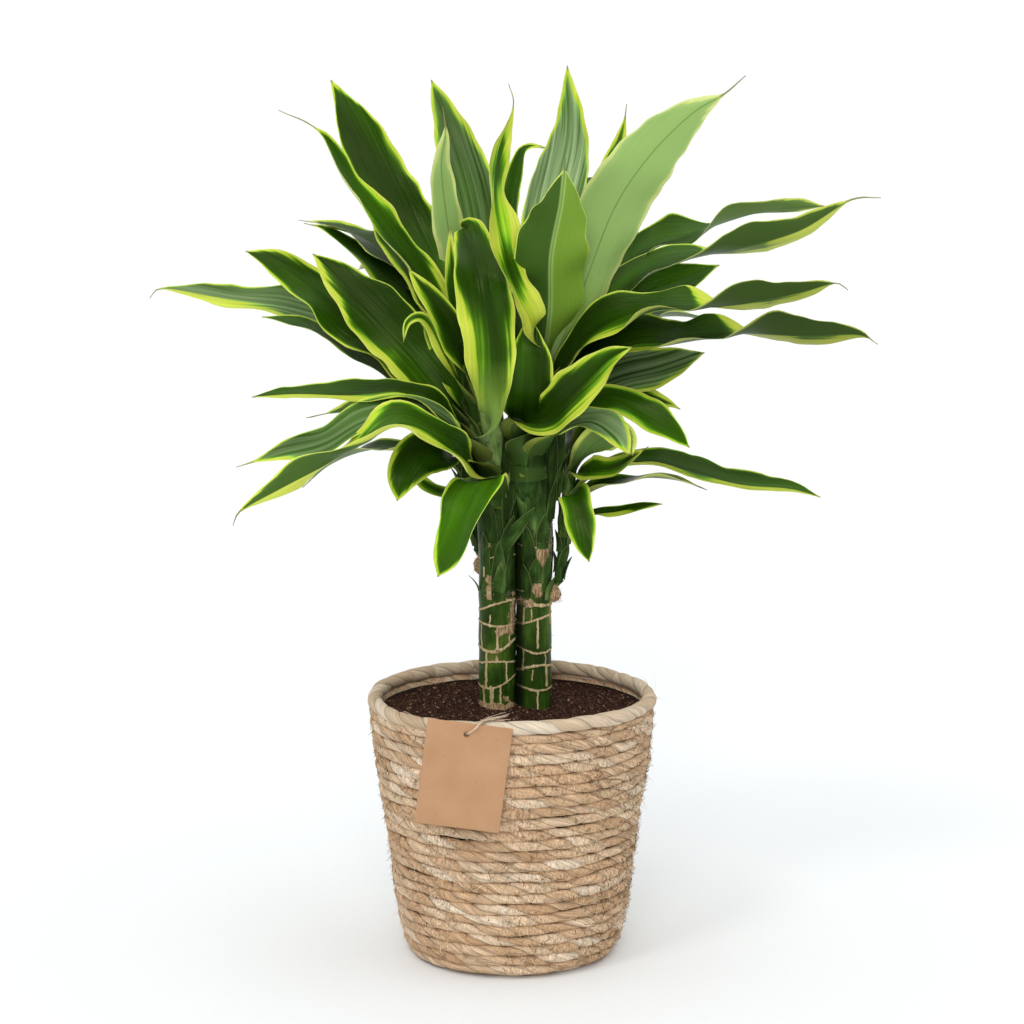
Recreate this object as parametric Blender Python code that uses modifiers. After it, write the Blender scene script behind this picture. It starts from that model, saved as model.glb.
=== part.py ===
"""A corn plant with two canes and variegated crowns, potted in a lined seagrass basket with a card tag.

Metres, +Z up. The origin is the middle of the basket's flat underside, and the plant's front faces -Y.
Leaf paths are in millimetres, as they are read from the front: across, up and towards the viewer.
"""

import math

import bmesh
import bpy
from mathutils import Matrix, Vector
from mathutils.geometry import interpolate_bezier

MM = 0.001
GAP = 0.3 * MM
MERGE = 0.00001

# Basket: its outside radius at each height, and the coiled cord that it is sewn from
BASKET_OUTSIDE = (
    (0, 70), (5, 76.5), (20, 81), (50, 86), (75, 88.5), (112, 94), (149, 99.5), (184.7, 102.5)
)
CORD_ROWS = 22
CORD_BULGE = 1.5
BASKET_WALL = 5.0
BASKET_FLOOR = 5.0
INSIDE_HEIGHTS = (9.0, 50.0, 112.0)
CORNER = 5.0
ROUND_STEPS = 28

# Rim: a ring of wrapped seagrass on the basket's top edge
RIM_RADIUS = 100.0
RIM_HEIGHT = 190.0
RIM_TUBE = 5.0
RIM_STEPS = 44
RIM_SIDES = 8
RIM_WRAPS = 22
RIM_WRAP_STEP = 0.5

# Liner and soil
LINER_WALL = 0.9
LINER_TOP = 180.0
SOIL_TOP = 178.0
SOIL_MOUND = 2.0

# Canes: middle, radius, top, and the heights of the leaf scars that ring them
CANE_FOOT = 108.0
SCAR_RIDGE = 0.8
SCAR_WIDTH = 3.0
CANES = {
    "cane_left": ((-11.0, 9.0), 13.2, 305.0, (191, 216, 228, 246, 262, 281)),
    "cane_right": ((17.0, 9.0), 11.8, 320.0, (195, 211, 225, 247, 264, 284, 303)),
}
CANE_STEPS = 16
# Knobs where side shoots leave the canes: place, radius, and the stub's top and radius
KNOBS = {
    "cane_left": ((-20.5, 18.5, 284.0), 7.5, (-24.0, 22.0, 295.0), 4.4),
    "cane_right": ((29.5, 7.0, 265.0), 6.0, (34.0, 5.5, 275.0), 3.8),
}

# Leafy stems with the leaf bases that clasp them: true x, y, height and radius along the axis
STEMS = {
    "crown_left": (
        (-11, 9, 305.3, 12.6),
        (-11, 9, 313, 12.6),
        (-13, 10, 345, 12.5),
        (-18, 9, 385, 13.2),
        (-24, 6, 420, 12.5),
        (-28, 2, 446, 9.0),
        (-30, 2, 464, 4.0),
    ),
    "crown_right": (
        (17, 9, 320.3, 11.4),
        (17, 9, 326, 11.6),
        (12, 1, 352, 13.8),
        (10, 0, 390, 14.5),
        (15, 0, 425, 12.5),
        (20, 1, 448, 9.0),
        (22, 1, 466, 4.0),
    ),
    "side_shoot": (
        (34, 5.5, 275.3, 3.7),
        (34, 5.5, 279, 3.7),
        (37.5, 5, 302, 4.2),
        (40, 7, 335, 4.6),
        (43, 11, 362, 4.6),
        (44, 12, 374, 2.4),
    ),
    "back_shoot": (
        (-24, 22, 295.3, 4.3),
        (-24, 22, 300, 4.3),
        (-32, 29, 330, 4.8),
        (-37, 35, 358, 5.0),
        (-39, 39, 376, 4.0),
        (-39.5, 40, 384, 2.4),
    ),
}
STEM_SIDES = 10

# Blades
BLADE_THICK = 0.9
STEP_LENGTH = 28.5
FEWEST_STEPS = 4
MOST_STEPS = 9
BASE_SHARE = 0.28
ROOT_SHARE = 0.7
TIP_SHARPNESS = 2.5
THREAD_WIDTH = 1.6
CLASP_ANGLE = 48.0
WAVE_LENGTH = 62.0
VIEWPOINT = Vector((0.0, -2.30, 0.742))
DEPTH_SPREAD = 1.4

# Tag and twine
TAG_WIDTH = 60.0
TAG_HEIGHT = 76.0
TAG_THICK = 0.8
TAG_ROLL = -7.5
TAG_MIDDLE = (-33.9, -106.3, 158.6)
TAG_HOLE_DOWN = 8.3
TAG_HOLE_ASIDE = -1.7
TAG_HOLE_RADIUS = 2.0
TWINE_RADIUS = 0.8
TWINE_AROUND = -12.0
TWINE_PASS_RADIUS = 1.5
TWINE_PASS_HEIGHT = 181.5
# How far the loop clears the card and the rim
TWINE_REACH = 1.8
TWINE_OVER_RIM = 0.7
# The loop's places under and inside the rim, by distance from the axis and height
TWINE_INNER = ((105.6, 181.5), (95.8, 181.5), (93.6, 185.0))
# Its places over the card's top edge
TWINE_OUTER = ((-22.4, -107.2, 197.0), (-24.4, -108.9, 193.8))


def material(name, colour, roughness, metallic=0.0):
    """A plain finish with the piece's own colour."""
    finish = bpy.data.materials.new(name)
    finish.use_nodes = True
    shader = finish.node_tree.nodes["Principled BSDF"]
    shader.inputs["Base Color"].default_value = (*colour, 1.0)
    shader.inputs["Roughness"].default_value = roughness
    shader.inputs["Metallic"].default_value = metallic
    finish.diffuse_color = (*colour, 1.0)
    return finish


def new_collection(name):
    made = bpy.data.collections.new(name)
    bpy.context.scene.collection.children.link(made)
    return made


def add_object(name, mesh, home, finish=None):
    made = bpy.data.objects.new(name, mesh)
    home.objects.link(made)
    if finish:
        mesh.materials.clear()
        mesh.materials.append(finish)
    return made


def mesh_from(name, shape):
    """A mesh made from a bmesh, which is freed."""
    mesh = bpy.data.meshes.new(name)
    shape.to_mesh(mesh)
    shape.free()
    return mesh


def smooth_shading(target, angle=40.0):
    target.data.shade_smooth()
    target.data.set_sharp_from_angle(angle=math.radians(angle))


def freeze(target):
    """Replaces an object's modifiers by the mesh that they make."""
    bpy.context.view_layer.update()
    evaluated = target.evaluated_get(bpy.context.evaluated_depsgraph_get())
    mesh = bpy.data.meshes.new_from_object(evaluated)
    target.modifiers.clear()
    target.data = mesh
    return target


def weld(mesh):
    shape = bmesh.new()
    shape.from_mesh(mesh)
    bmesh.ops.remove_doubles(shape, verts=shape.verts, dist=MERGE)
    shape.to_mesh(mesh)
    shape.free()


def cutter(target, home):
    """Marks an object as a shape that only cuts others."""
    for holder in list(target.users_collection):
        holder.objects.unlink(target)
    home.objects.link(target)
    target.hide_render = True
    target.display_type = "WIRE"
    return target


def boolean(target, other, operation):
    change = target.modifiers.new(operation.title(), "BOOLEAN")
    change.operation = operation
    change.object = other
    return change


def turned(name, profile, home, finish, place=(0.0, 0.0), steps=ROUND_STEPS):
    """Turns a profile of (radius, height) in millimetres, which runs down the outer side."""
    mesh = bpy.data.meshes.new(name)
    corners = [(radius * MM, 0.0, height * MM) for radius, height in profile]
    legs = [(i, i + 1) for i in range(len(corners) - 1) if profile[i][0] or profile[i + 1][0]]
    mesh.from_pydata(corners, legs, [])
    made = add_object(name, mesh, home)
    made.location = (place[0] * MM, place[1] * MM, 0.0)
    screw = made.modifiers.new("Turn", "SCREW")
    screw.steps = steps
    screw.render_steps = steps
    screw.use_merge_vertices = True
    screw.merge_threshold = MERGE
    freeze(made)
    weld(made.data)
    made.data.materials.clear()
    made.data.materials.append(finish)
    smooth_shading(made)
    return made


def straight_read(table, at):
    """The value that a table of (place, value) gives between its places."""
    for (low, below), (high, above) in zip(table, table[1:]):
        if at <= high:
            return below + (above - below) * (at - low) / (high - low)
    return table[-1][1]


def basket(home, cutters, finish):
    """A round cup of coiled cord rows, each row a bulge, on a flat underside."""
    top = BASKET_OUTSIDE[-1][0]
    foot = BASKET_OUTSIDE[1][0]
    pitch = (top - foot) / CORD_ROWS
    outside = []
    for row in range(CORD_ROWS):
        crease = top - row * pitch
        outside.append((straight_read(BASKET_OUTSIDE, crease), crease))
        crown = crease - pitch / 2
        outside.append((straight_read(BASKET_OUTSIDE, crown) + CORD_BULGE, crown))
    outside.append((straight_read(BASKET_OUTSIDE, foot), foot))
    outside.append((BASKET_OUTSIDE[0][1], 0.0))
    inside = [
        (straight_read(BASKET_OUTSIDE, height) - BASKET_WALL, height)
        for height in (*INSIDE_HEIGHTS, top)
    ]
    profile = [inside[-1], *outside, (0.0, 0.0)]
    profile = [*profile, (0.0, BASKET_FLOOR), (inside[0][0] - CORNER, BASKET_FLOOR), *inside]
    made = turned("basket", profile, home, finish)
    hole = cutter(twine_pass(), cutters)
    boolean(made, hole, "DIFFERENCE")
    freeze(made)
    smooth_shading(made)
    return made


def at_twine(radius, height):
    """A point by its distance from the axis and its height, where the twine goes round the rim."""
    turn = Matrix.Rotation(math.radians(TWINE_AROUND), 3, "Z")
    return turn @ Vector((0.0, -radius, height)) * MM


def twine_pass():
    """A short bar through the wall under the rim, where the twine passes between the cords."""
    shape = bmesh.new()
    reach = TWINE_PASS_RADIUS * MM
    bmesh.ops.create_cone(shape, cap_ends=True, segments=8, radius1=reach, radius2=reach, depth=0.03)
    mesh = mesh_from("twine_pass", shape)
    aim = at_twine(1000.0, 0.0).to_track_quat("Z", "Y").to_matrix().to_4x4()
    mesh.transform(Matrix.Translation(at_twine(100.0, TWINE_PASS_HEIGHT)) @ aim)
    made = bpy.data.objects.new("twine_pass", mesh)
    bpy.context.scene.collection.objects.link(made)
    return made


def rim_wrap(home, finish):
    """A ring of flat leaf strips wound round the top edge, each wrap a small step on the last."""
    shape = bmesh.new()
    rings = []
    for step in range(RIM_STEPS):
        turn = 2 * math.pi * step / RIM_STEPS
        ring = []
        for side in range(RIM_SIDES):
            roll = 2 * math.pi * side / RIM_SIDES
            wrap = (turn * RIM_WRAPS + roll) % (2 * math.pi) / (2 * math.pi)
            tube = RIM_TUBE - RIM_WRAP_STEP * wrap
            radius = RIM_RADIUS + tube * math.cos(roll)
            height = RIM_HEIGHT + tube * math.sin(roll)
            place = Vector((radius * math.cos(turn), radius * math.sin(turn), height))
            ring.append(shape.verts.new(place * MM))
        rings.append(ring)
    for step in range(RIM_STEPS):
        here, there = rings[step], rings[(step + 1) % RIM_STEPS]
        for side in range(RIM_SIDES):
            other = (side + 1) % RIM_SIDES
            shape.faces.new((here[side], there[side], there[other], here[other]))
    bmesh.ops.recalc_face_normals(shape, faces=shape.faces)
    made = add_object("rim_wrap", mesh_from("rim_wrap", shape), home, finish)
    smooth_shading(made)
    return made


def liner(home, finish):
    """A thin plastic cup between the cords and the soil."""
    outer = [
        (straight_read(BASKET_OUTSIDE, height) - BASKET_WALL - 2 * GAP / MM, height)
        for height in (LINER_TOP, *reversed(INSIDE_HEIGHTS))
    ]
    floor = BASKET_FLOOR + GAP / MM
    corner = outer[-1][0] - CORNER
    inner = [(radius - LINER_WALL, height) for radius, height in reversed(outer)]
    profile = [inner[-1], *outer, (corner, floor), (0.0, floor), (0.0, floor + LINER_WALL)]
    profile = [*profile, (corner - LINER_WALL / 2, floor + LINER_WALL), *inner]
    return turned("liner", profile, home, finish)


def soil(home, cutters, finish):
    """Potting soil, slightly mounded, with a plain hole for each cane."""
    clear = BASKET_WALL + LINER_WALL + 4 * GAP / MM
    side = [
        (straight_read(BASKET_OUTSIDE, height) - clear, height)
        for height in (SOIL_TOP, *reversed(INSIDE_HEIGHTS))
    ]
    floor = BASKET_FLOOR + LINER_WALL + 2 * GAP / MM
    shares = ((0.0, 1.0), (30.0, 0.8), (60.0, 0.3))
    mound = [(radius, SOIL_TOP + SOIL_MOUND * share) for radius, share in shares]
    profile = [*mound, *side, (side[-1][0] - CORNER, floor), (0.0, floor)]
    made = turned("soil", profile, home, finish)
    for name, (place, radius, _top, _scars) in CANES.items():
        depth = (SOIL_TOP + 10 * SOIL_MOUND - CANE_FOOT) * MM
        shape = bmesh.new()
        reach = (radius + 2 * GAP / MM) * MM
        bmesh.ops.create_cone(
            shape, cap_ends=True, segments=CANE_STEPS, radius1=reach, radius2=reach, depth=depth
        )
        hole = add_object(name + "_hole", mesh_from(name + "_hole", shape), cutters)
        hole.location = (place[0] * MM, place[1] * MM, CANE_FOOT * MM - GAP + depth / 2)
        cutter(hole, cutters)
        boolean(made, hole, "DIFFERENCE")
    freeze(made)
    smooth_shading(made)
    return made


def cane(name, home, cutters, finish):
    """A woody cane ringed by leaf scars, with the knob that a side shoot grows from."""
    place, radius, top, scars = CANES[name]
    profile = [(0.0, top), (radius, top)]
    for scar in reversed(scars):
        profile.append((radius, scar + SCAR_WIDTH / 2))
        profile.append((radius + SCAR_RIDGE, scar))
        profile.append((radius, scar - SCAR_WIDTH / 2))
    profile = [*profile, (radius, CANE_FOOT), (0.0, CANE_FOOT)]
    made = turned(name, profile, home, finish, place, CANE_STEPS)
    knob_at, knob_radius, stub_top, stub_radius = KNOBS[name]
    shape = bmesh.new()
    bmesh.ops.create_uvsphere(shape, u_segments=12, v_segments=8, radius=knob_radius * MM)
    mesh = mesh_from(name + "_knob", shape)
    mesh.transform(Matrix.Translation(Vector(knob_at) * MM))
    boolean(made, cutter(add_object(name + "_knob", mesh, cutters), cutters), "UNION")
    depth = (stub_top[2] - knob_at[2]) * MM
    shape = bmesh.new()
    bmesh.ops.create_cone(
        shape,
        cap_ends=True,
        segments=10,
        radius1=knob_radius * 0.9 * MM,
        radius2=stub_radius * MM,
        depth=depth,
    )
    mesh = mesh_from(name + "_stub", shape)
    mesh.transform(Matrix.Translation(Vector(stub_top) * MM - Vector((0.0, 0.0, depth / 2))))
    boolean(made, cutter(add_object(name + "_stub", mesh, cutters), cutters), "UNION")
    freeze(made)
    smooth_shading(made)
    return made


def from_front(across, up, towards):
    """A point read on the upright middle plane, slid along its line of sight towards the viewer."""
    on_plane = Vector((across, 0.0, up)) * MM
    return VIEWPOINT + (on_plane - VIEWPOINT) * (1.0 - towards * DEPTH_SPREAD * MM / -VIEWPOINT.y)


def smooth_path(points):
    """Points at equal steps along one smooth curve through the given points, and its length."""
    ends = [2 * points[0] - points[1], *points, 2 * points[-1] - points[-2]]
    fine = []
    for before, here, there, after in zip(ends, ends[1:], ends[2:], ends[3:]):
        lead_out = here + (there - before) / 6
        lead_in = there - (after - here) / 6
        fine.extend(interpolate_bezier(here, lead_out, lead_in, there, 12)[:-1])
    fine.append(points[-1])
    reached = [0.0]
    for here, there in zip(fine, fine[1:]):
        reached.append(reached[-1] + (there - here).length)
    count = min(max(round(reached[-1] / (STEP_LENGTH * MM)), FEWEST_STEPS), MOST_STEPS)
    even = []
    leg = 0
    for step in range(count + 1):
        goal = reached[-1] * step / count
        while leg < len(fine) - 2 and reached[leg + 1] < goal:
            leg += 1
        share = (goal - reached[leg]) / (reached[leg + 1] - reached[leg])
        even.append(fine[leg].lerp(fine[leg + 1], share))
    return even, reached[-1]


def blend(values, share):
    """Reads evenly spaced values at a share of the way along."""
    last = len(values) - 1
    leg = min(int(share * last), last - 1)
    return values[leg] + (values[leg + 1] - values[leg]) * (share * last - leg)


def blade_width(share):
    """The part of its full width that a blade has along its length."""
    if share < 0.5:
        return BASE_SHARE + (1 - BASE_SHARE) * math.sin(share * math.pi)
    return 1 - (share * 2 - 1) ** TIP_SHARPNESS


def face_direction(along, here, path, lean, faces, share):
    """The way a blade's upper face points: by the viewer, or away from the ground with a roll."""
    side = 1.0 if path[-1].x > path[0].x else -1.0
    if lean == "seen":
        to_viewer = (VIEWPOINT - here).normalized()
        normal = (to_viewer - along * along.dot(to_viewer)).normalized()
        turn = -side * blend(faces, share)
    else:
        outward = path[-1] - path[0]
        outward.z = 0.0
        across = outward.normalized().cross(Vector((0.0, 0.0, 1.0)))
        normal = across.cross(along).normalized()
        turn = side * blend(faces, share)
    return Matrix.Rotation(math.radians(turn), 3, along) @ normal


def root_shift(root, first, reach):
    """How far a blade starts from its stem's axis, on the side that it leaves by."""
    aside = first - root
    aside.z = 0.0
    return aside.normalized() * reach * ROOT_SHARE


def blade(name, root, leaf, home, reach):
    """One blade of a leaf: a channelled strip with waved edges and a thread-like tip."""
    width, lean, faces, fold, wave, tail, points = leaf
    path, length = smooth_path([root + root_shift(root, points[0], reach), *points])
    steps = len(path) - 1
    shape = bmesh.new()
    rows = []
    for step, here in enumerate(path):
        before, after = path[max(step - 1, 0)], path[min(step + 1, steps)]
        along = (after - before).normalized()
        share = min(step / steps * length / (length - tail * MM), 1.0)
        normal = face_direction(along, here, path, lean, faces, share)
        across = along.cross(normal)
        half = max(width * blade_width(share), THREAD_WIDTH) * MM / 2
        clasp = max(0.0, 1 - share / 0.25) ** 2
        angle = math.radians(fold + (CLASP_ANGLE - fold) * clasp)
        rising = math.sin(math.pi * share) * wave * MM
        row = []
        for edge in (-1, 0, 1):
            turn = 2 * math.pi * step / steps * length / (WAVE_LENGTH * MM) + edge * 1.1
            lift = abs(edge) * (half * math.sin(angle) + rising * math.sin(turn))
            row.append(shape.verts.new(here + across * edge * half * math.cos(angle) + normal * lift))
        rows.append(row)
    for lower, upper in zip(rows, rows[1:]):
        for left in (0, 1):
            shape.faces.new((lower[left], lower[left + 1], upper[left + 1], upper[left]))
    bmesh.ops.triangulate(shape, faces=shape.faces)
    made = add_object(name, mesh_from(name, shape), home)
    skin = made.modifiers.new("Thickness", "SOLIDIFY")
    skin.thickness = BLADE_THICK * MM
    skin.offset = 0.0
    return made


def seen(width, faces, path, fold=12, wave=1.5, tail=0):
    """A leaf read from the front. Faces: how far its upper face turns from the viewer, from root to tip."""
    return width, "seen", faces, fold, wave, tail, [from_front(*point) for point in path]


def arching(width, roll, path, fold=12, wave=1.5, tail=0):
    """A leaf that arches over with its upper face to the sky and rolls towards the viewer."""
    return width, "arching", (roll, roll, roll), fold, wave, tail, [from_front(*point) for point in path]


def grown(around, rise, droop, length, width, wave=2.0, roll=0.0):
    """A hidden leaf's turn, first rise, last rise, length, width, wave and roll."""
    return around, rise, droop, length, width, wave, roll


def grown_leaf(root, sort):
    """Follows a falling slope outwards from the stem."""
    around, rise, droop, length, width, wave, roll = sort
    outward = Vector((math.cos(math.radians(around)), math.sin(math.radians(around)), 0.0))
    points = []
    here = root.copy()
    for leg in range(5):
        slope = math.radians(rise + (droop - rise) * leg / 4)
        here = here + (outward * math.cos(slope) + Vector((0.0, 0.0, math.sin(slope)))) * length * MM / 5
        points.append(here)
    return width, "arching", (roll, roll * 1.5, roll * 2), 12, wave, 8, points


# Each leaf by the height of its root on the stem
CROWN_LEFT = (
    (425, seen(44, (20, 5, 0), ((-46, 470, -6), (-80, 542, -26), (-108, 600, -44), (-128, 637, -54)))),
    (432, seen(32, (40, 55, 60),
               ((-46, 465, 2), (-81, 518, 8), (-113, 560, 12), (-136, 600, 15),
                (-165, 616, 18)), 25, tail=26)),
    (400, seen(30, (50, 45, 60),
               ((-53, 455, -27), (-81, 488, -40), (-105, 511, -50), (-130, 530, -57),
                (-148, 536, -60)), tail=6)),
    (385, seen(40, (40, 30, 20),
               ((-52, 412, -10), (-90, 448, -22), (-119, 468, -28), (-143, 490, -32), (-169, 508, -34),
                (-190, 516, -36)), 8, 4)),
    (365, seen(46, (35, 10, 10),
               ((-42, 402, 2), (-67, 437, -3), (-95, 468, -8), (-121, 494, -14), (-142, 514, -18)))),
    (372, seen(42, (54, 52, 50),
               ((-56, 420, -36), (-102, 456, -56), (-156, 475, -66), (-206, 482, -70), (-249, 489, -72),
                (-259, 482, -72)), 15, tail=10)),
    (366, seen(34, (50, 62, 66), ((-58, 404, -14), (-106, 440, -32), (-146, 462, -42), (-179, 469, -46)))),
    (362, seen(36, (60, 66, 64),
               ((-50, 399, 22), (-80, 414, 30), (-115, 412, 34), (-155, 413, 38), (-187, 411, 40)))),
    (352, seen(34, (50, 48, 38),
               ((-44, 381, 30), (-72, 400, 42), (-105, 394, 50), (-135, 378, 56), (-165, 370, 60),
                (-199, 360, 62)), tail=10)),
    (344, seen(38, (58, 56, 55, 70, 132, 152),
               ((-42, 372, 44), (-78, 391, 62), (-108, 377, 72), (-138, 360, 76), (-170, 343, 82),
                (-196, 328, 84), (-202, 317, 84)), 20, 2, 10)),
    (336, arching(38, 0, ((-18, 350, 22), (-26, 345, 36), (-35, 326, 46), (-45, 300, 48), (-54, 279, 44)))),
    (372, seen(40, (0, 0, 5),
               ((-15, 405, 24), (-16, 450, 34), (-22, 492, 32), (-28, 520, 20), (-32, 532, 4),
                (-34, 531, -12)), 14, 4)),
    (400, seen(12, (20, 10, 0), ((-38, 460, 12), (-43, 500, 16), (-44, 534, 18)))),
    (410, seen(22, (30, 20, 10), ((-40, 450, 14), (-54, 476, 22), (-66, 492, 26), (-74, 503, 28)), 12, 2)),
    (380, seen(32, (10, 0, 0), ((-37, 420, -4), (-45, 452, -7), (-52, 482, -10), (-58, 508, -14)))),
    (404, seen(12, (50, 40, 20), ((-48, 440, 16), (-62, 466, 18), (-74, 465, 20), (-78, 450, 20)))),
    (440, seen(40, (15, 10, 0), ((-22, 484, -30), (-27, 545, -50), (-42, 598, -64), (-57, 637, -70)))),
    (436, seen(24, (170, 170, 175),
               ((-33, 480, -6), (-42, 530, 2), (-49, 574, 8), (-47, 600, 10), (-49, 618, 12)), tail=12)),
)
CROWN_RIGHT = (
    (436, seen(30, (40, 50, 55),
               ((14, 464, 36), (2, 490, 44), (-12, 545, 40), (-10, 585, 34), (1, 618, 28),
                (-2, 634, 26)), 20, tail=14)),
    (435, seen(22, (50, 50, 40),
               ((6, 492, -44), (0, 545, -62), (5, 581, -68), (12, 590, -70), (25, 589, -72)))),
    (430, seen(44, (10, 5, 0), ((18, 490, -24), (30, 548, -42), (41, 600, -56), (39, 647, -64)))),
    (425, seen(50, (175, 178, 180), ((27, 470, 18), (28, 512, 42), (35, 550, 62), (38, 582, 72)), tail=8)),
    (430, seen(48, (150, 165, 170),
               ((50, 488, 16), (72, 545, 30), (97, 583, 42), (127, 613, 52), (150, 627, 58),
                (165, 640, 60)), 10, tail=20)),
    (432, seen(24, (20, 10, 10), ((45, 500, -24), (66, 560, -38), (78, 600, -46), (81, 620, -48)), tail=8)),
    (415, seen(42, (60, 56, 54, 64, 112, 150),
               ((57, 472, -10), (88, 512, -20), (125, 527, -24), (165, 541, -26), (195, 547, -26),
                (222, 548, -26)), 18, 3.5)),
    (410, seen(42, (58, 60, 66, 132, 140),
               ((55, 462, 4), (88, 497, 6), (125, 510, 10), (165, 519, 14), (205, 531, 18),
                (240, 552, 20), (262, 554, 20)), 30, tail=22)),
    (405, seen(36, (40, 45, 45), ((50, 450, -24), (85, 480, -40), (118, 494, -50), (148, 506, -54)))),
    (402, seen(42, (52, 54, 55, 74, 138, 150),
               ((48, 448, 22), (88, 472, 36), (130, 475, 44), (170, 479, 48), (205, 486, 50),
                (230, 493, 50), (240, 488, 50)), 20, 3, 10)),
    (392, seen(44, (48, 52, 55, 74, 140, 152),
               ((48, 430, 2), (88, 452, 8), (125, 452, 12), (165, 457, 14), (210, 455, 14),
                (248, 456, 12), (262, 449, 12)), 20, 3, 6)),
    (391, seen(40, (30, 30, 35), ((45, 410, -12), (75, 424, -24), (105, 432, -30), (138, 443, -34)))),
    (378, seen(36, (10, 20, 30),
               ((8, 390, 18), (28, 398, 34), (50, 418, 46), (70, 438, 52), (86, 447, 54)), 22, 2)),
    (370, arching(34, 25, ((36, 388, 18), (57, 394, 30), (74, 384, 38), (85, 369, 42)))),
    (390, seen(28, (30, 30, 20),
               ((45, 404, 4), (72, 409, 8), (95, 399, 12), (114, 387, 14), (128, 374, 14)))),
    (380, seen(22, (60, 40, 40), ((60, 408, -14), (90, 410, -22), (110, 407, -26), (121, 402, -26)))),
    (395, seen(30, (5, 5, 5), ((9, 425, 8), (8, 455, 2), (10, 485, -12), (14, 515, -24)))),
    (365, seen(38, (5, 5, 5), ((10, 392, 12), (12, 414, 24), (13, 440, 30), (12, 468, 24)))),
)
SIDE_SHOOT = (
    (352, seen(24, (55, 55, 50), ((56, 357, 12), (76, 360, 18), (98, 375, 22)), tail=4)),
    (340, seen(34, (60, 62, 60),
               ((62, 355, -8), (98, 364, -14), (130, 356, -18), (165, 347, -20), (200, 344, -20),
                (223, 338, -20)), 18, 2)),
    (318, seen(11, (50, 50, 30), ((57, 325, -8), (75, 327, -12), (93, 331, -14), (109, 333, -14)))),
    (322, arching(24, 20, ((44, 340, 12), (48, 326, 22), (52, 306, 26), (56, 290, 26)))),
    (356, seen(24, (160, 160, 160), ((58, 376, 14), (74, 384, 22), (84, 379, 27), (87, 368, 28)))),
    (360, grown(54, 42, -32, 150, 32)),
    (345, grown(80, 40, -30, 140, 30)),
    (330, grown(10, 30, -20, 110, 24)),
)
BACK_SHOOT = (
    (358, seen(36, (20, 15, 20), ((-51, 372, -6), (-67, 367, 2), (-78, 352, 8), (-83, 335, 10)))),
    (368, seen(26, (100, 110, 115),
               ((-52, 390, -26), (-80, 404, -34), (-112, 403, -38), (-148, 396, -40)), tail=14)),
    (335, seen(12, (40, 30, 20), ((-50, 341, -6), (-64, 348, 2), (-72, 358, 6)))),
    (376, grown(112, 50, -5, 165, 34)),
    (366, grown(96, 44, -20, 160, 34)),
    (352, grown(160, 22, -40, 140, 32)),
)
BACK_LEFT = (
    (436, grown(97, 58, 5, 220, 40)),
    (424, grown(140, 56, 5, 215, 42)),
    (412, grown(120, 50, -10, 225, 42)),
    (398, grown(92, 40, -25, 205, 40)),
)
BACK_RIGHT = (
    (438, grown(74, 60, 10, 220, 40)),
    (424, grown(48, 52, -5, 205, 40)),
    (414, grown(80, 50, -12, 225, 42)),
    (400, grown(34, 46, -15, 200, 40)),
    (386, grown(60, 36, -35, 200, 40)),
)
LEAVES = {
    "crown_left": CROWN_LEFT + BACK_LEFT,
    "crown_right": CROWN_RIGHT + BACK_RIGHT,
    "side_shoot": SIDE_SHOOT,
    "back_shoot": BACK_SHOOT,
}
# Sheaths of shed leaves that still wrap the stems: how many, the lowest and highest root
SCALES = {
    "crown_left": (6, 310, 366),
    "crown_right": (6, 324, 376),
    "side_shoot": (3, 284, 326),
    "back_shoot": (2, 310, 340),
}
# Sheaths keep to the side of a stem that faces away from its neighbour
SCALE_FROM = {"crown_left": 75.0, "crown_right": -105.0, "side_shoot": -105.0, "back_shoot": 75.0}
SCALE_SPAN = 210.0
SCALE_WIDTH = 20.0
SCALE_TURN = 137.5


def stem_read(name, height, column):
    """One column of a stem's table at a height in millimetres."""
    return straight_read([(point[2], point[column]) for point in STEMS[name]], height)


def stem_point(name, height):
    """The place on a stem's axis at a height in millimetres."""
    return Vector((stem_read(name, height, 0), stem_read(name, height, 1), height)) * MM


def stem_radius(name, height):
    return stem_read(name, height, 3)


def stem(name, home):
    """A tapering green stem with flat ends."""
    curve = bpy.data.curves.new(name, "CURVE")
    curve.dimensions = "3D"
    curve.bevel_depth = 1.0 * MM
    curve.bevel_resolution = STEM_SIDES // 2 - 2
    curve.use_fill_caps = True
    line = curve.splines.new("POLY")
    line.points.add(len(STEMS[name]) - 1)
    for (*point, radius), spot in zip(STEMS[name], line.points):
        spot.co = (*(Vector(point) * MM), 1.0)
        spot.radius = radius
    made = bpy.data.objects.new(name, curve)
    home.objects.link(made)
    bpy.context.view_layer.update()
    solid = bpy.data.meshes.new_from_object(made.evaluated_get(bpy.context.evaluated_depsgraph_get()))
    bpy.data.objects.remove(made)
    weld(solid)
    return add_object(name, solid, home)


def scale_leaf(name, height, around):
    """A short blade that hugs its stem and then stands a little off it."""
    reach = stem_radius(name, height)
    root = stem_point(name, height)
    outward = Vector((math.cos(math.radians(around)), math.sin(math.radians(around)), 0.0))
    lift = Vector((0.0, 0.0, 1.0))
    steps = ((0.4, 8), (1.6, 18), (4.0, 30))
    points = [root + (outward * (reach + out) + lift * up) * MM for out, up in steps]
    return min(reach * 2.2, SCALE_WIDTH), "arching", (0, 0, 0), 34, 0.0, 0, points


def islands(shape):
    """The separate bodies of a bmesh, as lists of faces."""
    left = set(shape.faces)
    found = []
    while left:
        front = [left.pop()]
        body = list(front)
        while front:
            for edge in front.pop().edges:
                for face in edge.link_faces:
                    if face in left:
                        left.remove(face)
                        front.append(face)
                        body.append(face)
        found.append(body)
    return found


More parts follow.
